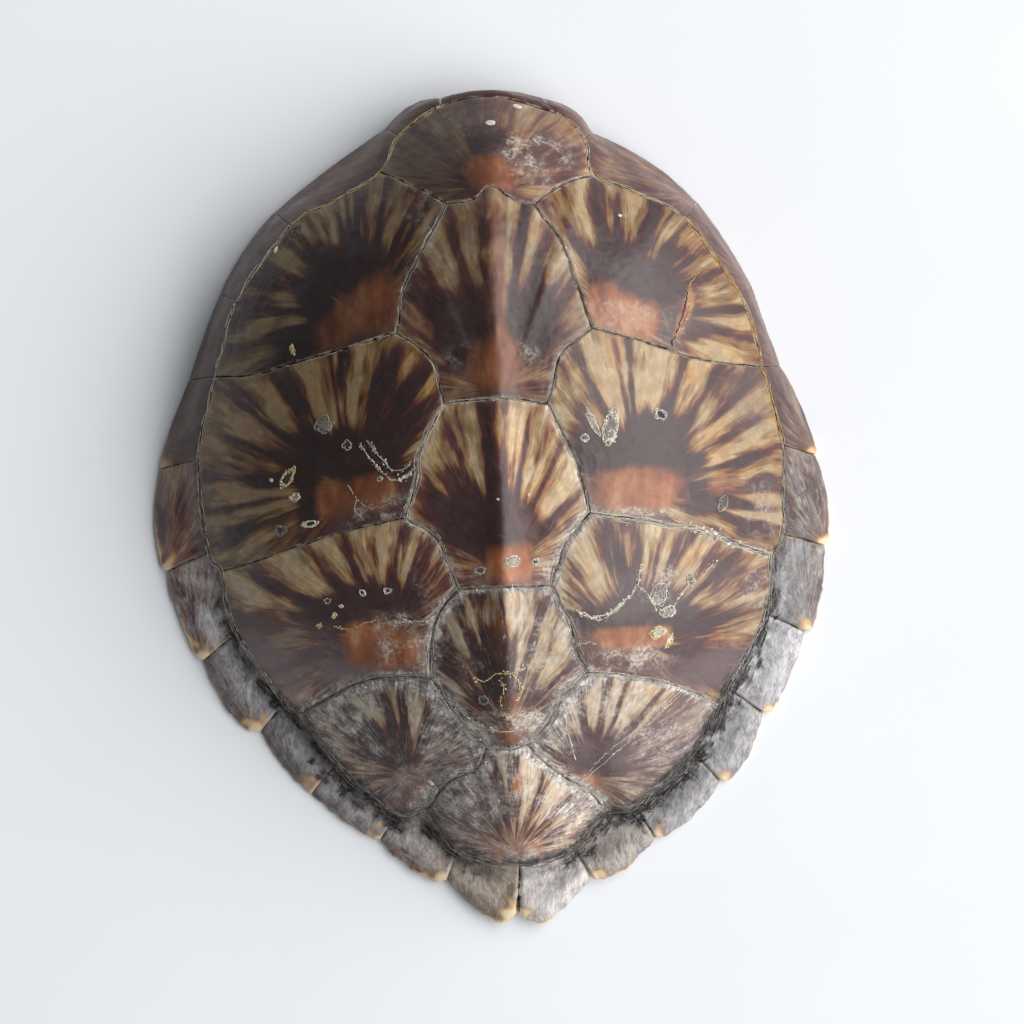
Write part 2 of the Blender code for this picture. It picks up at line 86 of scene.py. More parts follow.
RING_RIGHT = (
    ("M0", 33.0, 163.5, 24.0), ("M1", 44.0, 152.0, 30.0), ("C1", 47.5, 136.0, 38.0),
    ("", 66.0, 128.0, 37.0), ("M2", 84.5, 117.0, 36.0), ("M3", 106.0, 85.0, 34.0),
    ("M4 C2", 114.5, 55.0, 30.0), ("M5", 121.5, 22.5, 27.0), ("M6", 120.5, -14.5, 24.0),
    ("C3", 116.0, -23.0, 23.0), ("M7", 112.5, -47.5, 21.0), ("M8", 96.0, -78.0, 17.0),
    ("C4", 92.0, -85.5, 16.0), ("M9", 80.5, -104.5, 14.0), ("M10", 55.5, -126.5, 12.0),
    ("V5", 43.5, -128.0, 12.5), ("M11", 29.0, -143.0, 11.5),
)
RING_CUTS = 24

# The outer edge of each rim scute as start, middle and tip, from the neck to the tail.
NECK_EDGE = ((28.0, 171.0), (6.0, 175.0), (-15.0, 172.5))
TAIL_NOTCH = (5.0, -169.5)
EDGES_LEFT = (
    ((-15.0, 172.5), (-27.0, 170.5), (-38.0, 161.5)),
    ((-38.5, 161.0), (-63.5, 145.0), (-85.5, 128.5)),
    ((-86.5, 128.0), (-99.5, 113.0), (-110.0, 95.5)),
    ((-110.5, 94.5), (-118.0, 77.5), (-124.5, 60.0)),
    ((-125.0, 59.0), (-133.5, 39.0), (-139.0, 22.5)),
    ((-138.5, 22.0), (-141.5, 0.5), (-139.0, -20.0)),
    ((-137.0, -21.0), (-133.5, -39.0), (-125.0, -58.5)),
    ((-123.0, -59.0), (-115.0, -78.0), (-105.0, -90.0)),
    ((-100.0, -90.0), (-92.5, -103.0), (-82.0, -116.0)),
    ((-79.5, -116.5), (-68.5, -127.5), (-54.5, -137.0)),
    ((-51.5, -137.0), (-41.5, -148.0), (-28.5, -156.0)),
    ((-24.0, -154.5), (-13.0, -167.0), (-1.5, -174.5)),
)
EDGES_RIGHT = (
    ((28.0, 171.0), (40.0, 166.0), (47.0, 157.5)),
    ((48.5, 156.0), (72.0, 143.0), (90.0, 126.5)),
    ((91.0, 126.0), (102.0, 109.5), (112.0, 91.0)),
    ((112.5, 90.5), (117.5, 74.0), (123.5, 57.0)),
    ((123.5, 56.0), (131.5, 39.5), (138.0, 19.0)),
    ((137.0, 18.0), (141.5, -1.0), (141.0, -19.5)),
    ((139.5, -20.0), (137.5, -39.0), (133.0, -56.5)),
    ((129.5, -55.5), (124.0, -72.5), (115.0, -90.0)),
    ((111.0, -89.5), (105.5, -105.0), (96.0, -117.5)),
    ((92.0, -117.5), (82.5, -130.0), (66.5, -141.0)),
    ((64.0, -140.0), (54.0, -150.5), (41.5, -157.5)),
    ((37.0, -156.0), (23.5, -169.0), (13.0, -175.5)),
)
RIM_BASE = (10.0, 6.5, 2.5, 1.2, 0.0, 0.0, 0.8, 1.0, 0.0, 0.0, 1.0, 2.0, 3.0)
NECK_BASE = 12.0
EDGE_HEIGHT = 1.6
EDGE_BEVEL = 0.6
TIP_LENGTH = 4.0
FOLD_ANGLE = math.radians(62)
SHARP_ANGLE = math.radians(65)
LEAST_NOTCH = 1.5
OUTER_BOW = 0.9
FRONT_Y = 60.0
TAIL_Y = -50.0
BOW = (1.5, -3.8)
LIP = (7.5, 11.5)

SPINE_WIDTH = 5.5
SPINE_DEPTH = 4.2
SPINE_FRONT_Y = 135.0
SPINE_REAR_Y = -125.0
SPINE_FADE = 15.0
VERTEBRA_LENGTH = 26.0
RIB_PAIRS = 8
RIB_FRONT_Y = 128.0
RIB_SPACING = 31.0
RIB_SPREAD = 0.16
RIB_DEPTH = 1.3
RIB_WIDTH = 5.5
BONE_TOP_LOOPS = 26
BONE_INSIDE_LOOPS = 70
BONE_RIM_STEPS = 6

BONE_CREAM = (0.58, 0.47, 0.31, 1.0)
BONE_TAN = (0.34, 0.23, 0.12, 1.0)
BONE_STAIN = (0.16, 0.10, 0.055, 1.0)
EVEN = (1, 1, 1)


def smooth_line(points, cuts, closed=False):
    """Points on the smooth curve through the given ones, with the given number of cuts a span."""
    points = np.asarray(points, float)
    if closed:
        ends = np.concatenate([points[-1:], points, points[:2]])
    else:
        ends = np.concatenate([[2 * points[0] - points[1]], points, [2 * points[-1] - points[-2]]])
    found = []
    for k in range(1, len(ends) - 2):
        before, start, end, after = ends[k - 1:k + 3]
        span = cuts if isinstance(cuts, int) else max(1, round(np.linalg.norm(end - start) / cuts))
        t = (np.arange(span) / span)[:, None]
        square = 2 * before - 5 * start + 4 * end - after
        cube = 3 * start - before - 3 * end + after
        found.append(start + 0.5 * ((end - before) * t + square * t * t + cube * t**3))
    if not closed:
        found.append(ends[-2:-1])
    return np.concatenate(found)


def walk(row):
    """How far along a row each of its points lies."""
    return np.concatenate([[0.0], np.cumsum(np.linalg.norm(np.diff(row, axis=0), axis=1))])


def read_row(row, known, wanted):
    """A row of points read at other places along it."""
    return np.stack([np.interp(wanted, known, column) for column in row.T], axis=1)


ring_knots = []
ring_at = {}
for side, rows in (("", RING_NECK), ("left", RING_LEFT), ("tail", RING_TAIL), ("right", RING_RIGHT[::-1])):
    for marks, *place in rows:
        for mark in marks.split():
            ring_at[mark, side] = len(ring_knots) * RING_CUTS
        ring_knots.append(place)
for side in ("left", "right"):
    ring_at["M12", side] = ring_at["M12", "tail"]
ring_line = smooth_line(ring_knots, RING_CUTS, closed=True)
ring_arm = ring_line[:, :2] - CROWN
ring_angle = np.arctan2(ring_arm[:, 1], ring_arm[:, 0])
ring_radius = np.hypot(ring_arm[:, 0], ring_arm[:, 1])
even_angle = np.linspace(-math.pi, math.pi, 360, endpoint=False)
even_radius = np.interp(even_angle, ring_angle, ring_radius, period=2 * math.pi)
for _ in range(60):
    even_radius = (np.roll(even_radius, 1) + 2 * even_radius + np.roll(even_radius, -1)) / 4


def dome_height(place):
    """Height of the dome over places in plan."""
    arm = place - CROWN
    angle = np.arctan2(arm[..., 1], arm[..., 0])
    radius = np.interp(angle, ring_angle, ring_radius, period=2 * math.pi)
    edge = np.interp(angle, ring_angle, ring_line[:, 2], period=2 * math.pi)
    even = np.interp(angle, even_angle, even_radius, period=2 * math.pi)
    reach = np.hypot(arm[..., 0], arm[..., 1])
    near_ring = np.minimum(1.0, reach / radius) ** 5
    share = reach / (even + (radius - even) * near_ring)
    off_keel = (place[..., 0] - KEEL_X) / KEEL_HALF_WIDTH
    keel = KEEL_RISE * np.exp(-off_keel**2) * np.maximum(0.0, 1 - share**4)
    return edge + (CROWN_HEIGHT - edge) * (1 - share**DOME_POWER) + keel


def dome_point(place):
    """Points of the dome and their outward normals over places in plan."""
    step = 0.5
    height = dome_height(place)
    slope_x = (dome_height(place + (step, 0.0)) - height) / step
    slope_y = (dome_height(place + (0.0, step)) - height) / step
    normal = np.stack([-slope_x, -slope_y, np.ones_like(height)], axis=-1)
    normal /= np.linalg.norm(normal, axis=-1, keepdims=True)
    return np.concatenate([place, height[..., None]], axis=-1), normal


def edge_curve(start, middle, tip, t):
    start, middle, tip = np.array(start), np.array(middle), np.array(tip)
    bend = 2 * middle - (start + tip) / 2
    t = t[:, None]
    return (1 - t) ** 2 * start + 2 * t * (1 - t) * bend + t * t * tip


def rim_rows():
    """For each rim scute its ring points, the edge place opposite each, and its lower edge."""
    found = {}
    neck = np.concatenate([
        np.arange(ring_at["M0", "right"], len(ring_line)), np.arange(ring_at["M0", "left"] + 1)
    ])
    t = np.linspace(0, 1, len(neck))
    base = RIM_BASE[0] + (NECK_BASE - RIM_BASE[0]) * (1 - np.abs(2 * t - 1))
    found["nuchal"] = (ring_line[neck], edge_curve(*NECK_EDGE, t), base)
    for side, edges in (("left", EDGES_LEFT), ("right", EDGES_RIGHT)):
        for n, edge in enumerate(edges):
            last = n == len(edges) - 1
            name = f"supracaudal_{side}" if last else f"marginal_{side}_{n + 1}"
            first, end = ring_at[f"M{n}", side], ring_at[f"M{n + 1}", side]
            inner = ring_line[first:end + 1] if side == "left" else ring_line[end:first + 1][::-1]
            walked = walk(inner)
            share = walked / walked[-1]
            on_edge = 1 - TIP_LENGTH / walked[-1]
            places = edge_curve(*edge, np.minimum(1.0, share / on_edge))
            notch = np.array(TAIL_NOTCH if last else edges[n + 1][0])
            back = np.maximum(0.0, (share - on_edge) / (1 - on_edge))[:, None]
            places = places + (notch - np.array(edge[2])) * back
            found[name] = (inner, places, RIM_BASE[n] + (RIM_BASE[n + 1] - RIM_BASE[n]) * share)
    return found


def in_section(out, inner, flat):
    """Points in space from points of a vertical cut: reach from the ring, and height."""
    return np.stack([
        inner[:, 0] + out[:, 0] * flat[:, 0], inner[:, 1] + out[:, 1] * flat[:, 0], flat[:, 1]
    ], axis=1)


def lifted(out, flat):
    return np.stack([out[:, 0] * flat[:, 0], out[:, 1] * flat[:, 0], flat[:, 1]], axis=1)


def unit(vectors):
    return vectors / np.linalg.norm(vectors, axis=-1, keepdims=True)


def turned(flat):
    return np.stack([-flat[:, 1], flat[:, 0]], axis=1)


def meeting(far, slope, depth, lip_end, back, upward, lip_depth):
    """Where the underside of the upper wall meets the upper side of the lip."""
    above = far - turned(slope) * depth
    below = lip_end + upward * lip_depth
    across = -slope[:, 0] * back[:, 1] + slope[:, 1] * back[:, 0]
    gap = below - above
    run = (-gap[:, 0] * back[:, 1] + gap[:, 1] * back[:, 0]) / across
    point = above + slope * run[:, None]
    over = -((point - below) * back).sum(1)
    least = below - back * LEAST_NOTCH
    return np.where((over < LEAST_NOTCH)[:, None], least, point)


def rim_section(inner, edge, base):
    """The key points of the cut through the rim at each ring point, as a dictionary of rows."""
    reach = np.linalg.norm(edge - inner[:, :2], axis=1)
    out = (edge - inner[:, :2]) / reach[:, None]
    top = base + EDGE_HEIGHT
    along = unit(np.stack([reach, top - inner[:, 2]], axis=1))
    length = np.hypot(reach, top - inner[:, 2])[:, None]
    face = turned(along)
    tailward = np.clip((FRONT_Y - inner[:, 1]) / (FRONT_Y - TAIL_Y), 0, 1)[:, None]
    start = np.stack([np.zeros_like(reach), inner[:, 2]], axis=1)
    near = start + along * length / 3 + face * (BOW[0] + (BOW[1] - BOW[0]) * tailward)
    far = start + along * length * 2 / 3 + face * OUTER_BOW
    tip = np.stack([reach, top], axis=1)
    foot = np.stack([reach - EDGE_BEVEL, base], axis=1)
    rise = np.maximum(0.0, np.arctan2(inner[:, 2] - top, reach) - FOLD_ANGLE)
    back = np.stack([-np.cos(rise), np.sin(rise)], axis=1)
    upward = np.stack([np.sin(rise), np.cos(rise)], axis=1)
    lip_end = foot + back * (LIP[0] + (LIP[1] - LIP[0]) * tailward)
    slope = unit(tip - far)
    bone_depth = HORN + HORN_TO_BONE
    flat = {
        "start": start, "near": near, "far": far, "tip": tip, "foot": foot, "lip_end": lip_end,
        "lip_top": lip_end + upward * LIP_HORN,
        "notch": meeting(far, slope, HORN, lip_end, back, upward, LIP_HORN),
        "bone_edge": meeting(far, slope, bone_depth, lip_end, back, upward, LIP_HORN + HORN_TO_BONE),
        "bone_lip": lip_end + upward * (LIP_HORN + HORN_TO_BONE),
    }
    found = {name: in_section(out, inner, row) for name, row in flat.items()}
    found["normal"] = unit(dome_point(inner[:, :2])[1] + lifted(out, face))
    found["near_face"] = lifted(out, face)
    found["far_face"] = lifted(out, unit(face + turned(slope)))
    return found


def spans(points, steps):
    """Smooth rows through matching points: an array of rows, each with the given cuts a span."""
    return np.stack([smooth_line(np.stack(row), steps) for row in zip(*points)])


def in_scene(name, data):
    """A new object in the scene."""
    piece = bpy.data.objects.new(name, data)
    bpy.context.scene.collection.objects.link(piece)
    return piece


def closed_mesh(name, points, faces, material):
    """A closed, smooth-shaded piece from points in millimetres, with its faces turned outwards."""
    mesh = bpy.data.meshes.new(name)
    mesh.from_pydata((np.asarray(points) * MM).tolist(), [], faces)
    shape = bmesh.new()
    shape.from_mesh(mesh)
    bmesh.ops.recalc_face_normals(shape, faces=shape.faces)
    shape.to_mesh(mesh)
    shape.free()
    mesh.shade_smooth()
    mesh.set_sharp_from_angle(angle=SHARP_ANGLE)
    mesh.materials.append(material)
    return in_scene(name, mesh)


def loft_faces(loops, count, start=0):
    """Quads between closed loops of the same count, each laid after the one before it."""
    k = np.arange(loops - 1)[:, None] * count + start
    i = np.arange(count)[None, :]
    j = (i + 1) % count
    quads = np.stack([k + i, k + j, k + count + j, k + count + i], axis=-1)
    return quads.reshape(-1, 4).tolist()


def pole_faces(pole, start, count):
    return [[pole, start + k, start + (k + 1) % count] for k in range(count)]


def wire(tree, inputs, values):
    """Joins each input to a socket, or sets it to a plain value."""
    for name, value in values.items():
        if isinstance(value, bpy.types.NodeSocket):
            tree.links.new(value, inputs[name])
        else:
            inputs[name].default_value = value


def put(tree, kind, wires=None, **settings):
    """A new node with its inputs and its settings."""
    made = tree.nodes.new(kind)
    for name, value in settings.items():
        setattr(made, name, value)
    wire(tree, made.inputs, wires or {})
    return made


def sums(tree, operation, first, second=0.0, third=0.0, clamp=False):
    wires = {0: first, 1: second, 2: third}
    return put(tree, "ShaderNodeMath", wires, operation=operation, use_clamp=clamp).outputs[0]


def between(tree, value, low, high, new_low=0.0, new_high=1.0):
    """A value brought from one range to another, and kept inside it."""
    wires = {"Value": value, "From Min": low, "From Max": high, "To Min": new_low, "To Max": new_high}
    return put(tree, "ShaderNodeMapRange", wires).outputs["Result"]


def grain(tree, vector, stretch, scale, detail=2.0, roughness=0.5, shift=0.0):
    """Noise on a vector that is stretched first; the shift gives another pattern."""
    wires = {"Vector": vector, "Scale": stretch, "Location": (shift, shift, shift)}
    spread = put(tree, "ShaderNodeMapping", wires).outputs[0]
    wires = {"Vector": spread, "Scale": scale, "Detail": detail, "Roughness": roughness}
    return put(tree, "ShaderNodeTexNoise", wires).outputs["Fac"]


def tint(tree, share, first, second, blend="MIX"):
    made = put(tree, "ShaderNodeMix", data_type="RGBA", blend_type=blend)
    inputs = {s.name: s for s in made.inputs if s.type == "RGBA" or (s.name, s.type) == ("Factor", "VALUE")}
    wire(tree, inputs, {"Factor": share, "A": first, "B": second})
    return next(s for s in made.outputs if s.type == "RGBA")


def times(tree, colour, by):
    return tint(tree, 1.0, colour, by, "MULTIPLY")


def vectors(tree, operation, wires):
    return put(tree, "ShaderNodeVectorMath", wires, operation=operation).outputs[0]


def colours(tree, value, stops):
    """A colour ramp with the given places and colours."""
    ramp = put(tree, "ShaderNodeValToRGB", {"Fac": value})
    elements = ramp.color_ramp.elements
    while len(elements) < len(stops):
        elements.new(0.5)
    for element, (place, colour) in zip(elements, stops):
        element.position = place
        element.color = (*colour[:3], 1.0)
    return ramp.outputs["Color"]


def bumps(tree, height, strength, depth):
    wires = {"Height": height, "Strength": strength, "Distance": depth}
    return put(tree, "ShaderNodeBump", wires).outputs[0]


def new_finish(name):
    """A material with its tree, its shader and its object coordinates."""
    material = bpy.data.materials.new(name)
    material.use_nodes = True
    tree = material.node_tree
    shader = tree.nodes["Principled BSDF"]
    place = put(tree, "ShaderNodeTexCoord").outputs["Object"]
    return material, tree, shader, place


def bone_finish():
    """Dry bone: cream with tan stains, fine pores, and dirt in the hollows."""
    material, tree, shader, place = new_finish("dry_bone")
    blotch = grain(tree, place, EVEN, 45.0, detail=4.0)
    pore = grain(tree, place, EVEN, 900.0, detail=2.0)
    fibre = grain(tree, place, (0.25, 1, 1), 520.0, detail=3.0, shift=4.0)
    colour = colours(tree, blotch, ((0.3, BONE_STAIN), (0.45, BONE_TAN), (0.62, BONE_CREAM)))
    colour = tint(tree, between(tree, pore, 0.35, 0.6, 0.35, 0.0), colour, BONE_STAIN)
    uneven = bumps(tree, sums(tree, "ADD", pore, fibre), 0.5, 0.0003)
    wire(tree, shader.inputs, {"Base Color": colour, "Roughness": 0.75, "Normal": uneven})
    return material


def inside_relief(place):
    """How far the ribs and the vertebrae stand down from the inner face of the bone."""
    x, y = place[:, 0] - KEEL_X, place[:, 1]
    spine = np.exp(-((x / SPINE_WIDTH) ** 2)) * np.clip((SPINE_FRONT_Y - y) / SPINE_FADE, 0, 1)
    spine *= np.clip((y - SPINE_REAR_Y) / SPINE_FADE, 0, 1)
    waist = 0.78 + 0.22 * np.cos(2 * math.pi * y / VERTEBRA_LENGTH)
    relief = SPINE_DEPTH * spine * waist
    for pair in range(RIB_PAIRS):
        middle = RIB_FRONT_Y - RIB_SPACING * pair
        lean = (middle - CROWN[1]) * RIB_SPREAD / 90
        off = (y - middle - lean * np.abs(x)) / RIB_WIDTH
        fade = np.clip(1.15 - np.abs(x) / 115, 0, 1)
        relief = relief + RIB_DEPTH * np.exp(-off**2) * fade
    return relief


rims = rim_rows()
rim_order = ["nuchal"] + [f"marginal_left_{n}" for n in range(1, 12)] + ["supracaudal_left"]
around_left = [rims[name] for name in rim_order]
around_right = [rims["supracaudal_right"]] + [rims[f"marginal_right_{n}"] for n in range(11, 0, -1)]
all_rows = [tuple(part[:-1] for part in row) for row in around_left]
all_rows += [tuple(part[::-1][:-1] for part in row) for row in around_right]
whole_rim = rim_section(*(np.concatenate(parts) for parts in zip(*all_rows)))
ring_count = len(whole_rim["start"])
ring_plan = whole_rim["start"][:, :2]
depth = HORN + HORN_TO_BONE
loops = []
for share in np.linspace(0.02, 0.98, BONE_TOP_LOOPS):
    point, normal = dome_point(CROWN + (ring_plan - CROWN) * share)
    loops.append(point - normal * depth)
rim_chain = spans([
    whole_rim["start"] - whole_rim["normal"] * depth,
    whole_rim["near"] - whole_rim["near_face"] * depth,
    whole_rim["far"] - whole_rim["far_face"] * depth,
    whole_rim["bone_edge"],
], BONE_RIM_STEPS)
loops += list(rim_chain.transpose(1, 0, 2))
inside_ring = whole_rim["start"] - whole_rim["normal"] * (depth + BONE_AT_RING)
for share in np.linspace(0, 1, BONE_RIM_STEPS + 1):
    loops.append(whole_rim["bone_lip"] + (inside_ring - whole_rim["bone_lip"]) * share)
for share in np.linspace(0.985, 0.015, BONE_INSIDE_LOOPS):
    place = CROWN + (ring_plan - CROWN) * share
    point, normal = dome_point(place)
    wall = BONE + (BONE_AT_RING - BONE) * share**8 + inside_relief(place) * (1 - share**10)
    loops.append(point - normal * (depth + wall[:, None]))
points = np.concatenate(loops)
crown_point, crown_normal = dome_point(CROWN[None, :])
crown_wall = depth + BONE + inside_relief(CROWN[None, :])[0]
poles = [crown_point[0] - crown_normal[0] * depth, crown_point[0] - crown_normal[0] * crown_wall]
faces = loft_faces(len(loops), ring_count)
faces += pole_faces(len(points), 0, ring_count)
faces += pole_faces(len(points) + 1, len(points) - ring_count, ring_count)
dry_bone = bone_finish()
bone = closed_mesh("bone_plate", np.concatenate([points, poles]), faces, dry_bone)
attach(bone, "root")
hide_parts("bone_carapace")

# ---------------------------------------------------------------------------------------------
# Vertebral scutes. Five plates of horn along the keel, each grown from a point near its rear
# edge, so that its dark and amber streaks fan out forwards. They lie on the bone edge to edge.

SEAMS = {
    "v1_v2": ((-13.5, 125.0), (-2.0, 126.5), (4.5, 131.5), (12.5, 126.5), (22.0, 123.0)),
    "v2_v3": ((-17.0, 43.0), (4.5, 44.5), (24.5, 41.5)),
    "v3_v4": ((-14.5, -32.0), (5.0, -31.5), (23.5, -32.0)),
    "v4_v5": ((-5.0, -97.0), (3.5, -98.5), (11.5, -97.0)),
    "v1_c1_left": ("C1", (-32.5, 136.5), (-22.5, 131.0), (-13.5, 125.0)),
    "v1_c1_right": ("C1", (33.0, 131.5), (22.0, 123.0)),
    "v2_c1_left": ((-13.5, 125.0), (-22.5, 108.5), (-32.0, 90.0), (-35.0, 72.5)),
    "v2_c1_right": ((22.0, 123.0), (33.0, 107.0), (38.5, 89.5), (43.5, 71.5)),
    "v2_c2_left": ((-35.0, 72.5), (-22.0, 61.5), (-19.0, 52.5), (-17.0, 43.0)),
    "v2_c2_right": ((43.5, 71.5), (31.0, 61.5), (27.0, 49.0), (24.5, 41.5)),
    "v3_c2_left": ((-17.0, 43.0), (-27.0, 24.5), (-30.0, 11.0), (-34.5, -2.5)),
    "v3_c2_right": ((24.5, 41.5), (34.5, 19.5), (37.5, 8.5), (40.0, -3.0)),
    "v3_c3_left": ((-34.5, -2.5), (-23.0, -10.0), (-18.0, -20.5), (-14.5, -32.0)),
    "v3_c3_right": ((40.0, -3.0), (30.5, -14.0), (26.5, -23.5), (23.5, -32.0)),
    "v4_c3_left": ((-14.5, -32.0), (-23.0, -42.5), (-26.5, -56.0), (-27.0, -68.0)),
    "v4_c3_right": ((23.5, -32.0), (30.5, -46.5), (33.0, -59.0), (37.0, -67.5)),
    "v4_c4_left": ((-27.0, -68.0), (-21.0, -78.0), (-12.5, -90.5), (-5.0, -97.0)),
    "v4_c4_right": ((37.0, -67.5), (26.0, -79.0), (20.0, -88.5), (11.5, -97.0)),
    "v5_c4_left": ((-5.0, -97.0), (-10.0, -106.5), (-22.5, -113.0), "V5"),
    "v5_c4_right": ((11.5, -97.0), (22.5, -108.5), (36.5, -118.5), "V5"),
    "c1_c2_left": ((-35.0, 72.5), (-54.5, 67.5), (-79.5, 62.0), (-96.5, 58.5), "C2"),
    "c1_c2_right": ((43.5, 71.5), (63.0, 66.0), (83.5, 59.0), (98.0, 56.5), "C2"),
    "c2_c3_left": ((-34.5, -2.5), (-57.0, -6.5), (-82.0, -13.0), (-99.5, -18.5), "C3"),
    "c2_c3_right": ((40.0, -3.0), (64.0, -7.0), (85.0, -11.5), (99.5, -18.0), "C3"),
    "c3_c4_left": ((-27.0, -68.0), (-43.0, -67.0), (-60.0, -70.5), "C4"),
    "c3_c4_right": ((37.0, -67.5), (58.5, -71.0), (79.0, -77.5), "C4"),
}
SEAM_STEP = 1.0
SEAM_GAP = 0.16
EDGE_LOOPS = (0.0, 0.12, 0.3, 0.55, 0.9, 1.3, 1.8, 2.4, 3.1, 3.9)
LOOP_STEP = 1.0
UNDER_LOOPS = (0.0, 0.12, 0.4, 0.75)
FAN_UNIT = 50.0
# The surface of a plate: rolled down at its edge, a bead beside it, a pillow inside, then
# growth ripples, swells, dimples and the line of the keel.
ROLL_DOWN = 0.5
ROLL_WIDTH = 0.35
BEAD = 0.14
BEAD_INSET = 1.7
BEAD_WIDTH = 0.9
PILLOW = 0.55
PILLOW_WIDTH = 6.0
RIPPLE = 0.03
SWELL = 0.25
DIMPLE = 0.1
KEEL_LINE = 0.7
KEEL_FLANK = 4.5
# Where the keel is sharp: its middle, half length and the length over which it grows blunt.
KEEL_SHARP = (-25.0, 58.0, 20.0)
KEEL_ROUND = (0.8, 4.5)
KEEL_WAVER = 2.0
# The darker band on the dome beside the rear channel, made of grit and painted shade of the groove: where it
# starts, how it fades in, how far it reaches from the ring and its share on the left.
GRIT_SHADE_FROM_Y = -42.0
GRIT_SHADE_FADE = 35.0
GRIT_SHADE_REACH = 4.0
GRIT_SHADE_ON_LEFT = 0.75
# The way the streaks run out from the growth point, in degrees.
AHEAD = {"vertebral": 90, "costal_left": 122, "costal_right": 52}
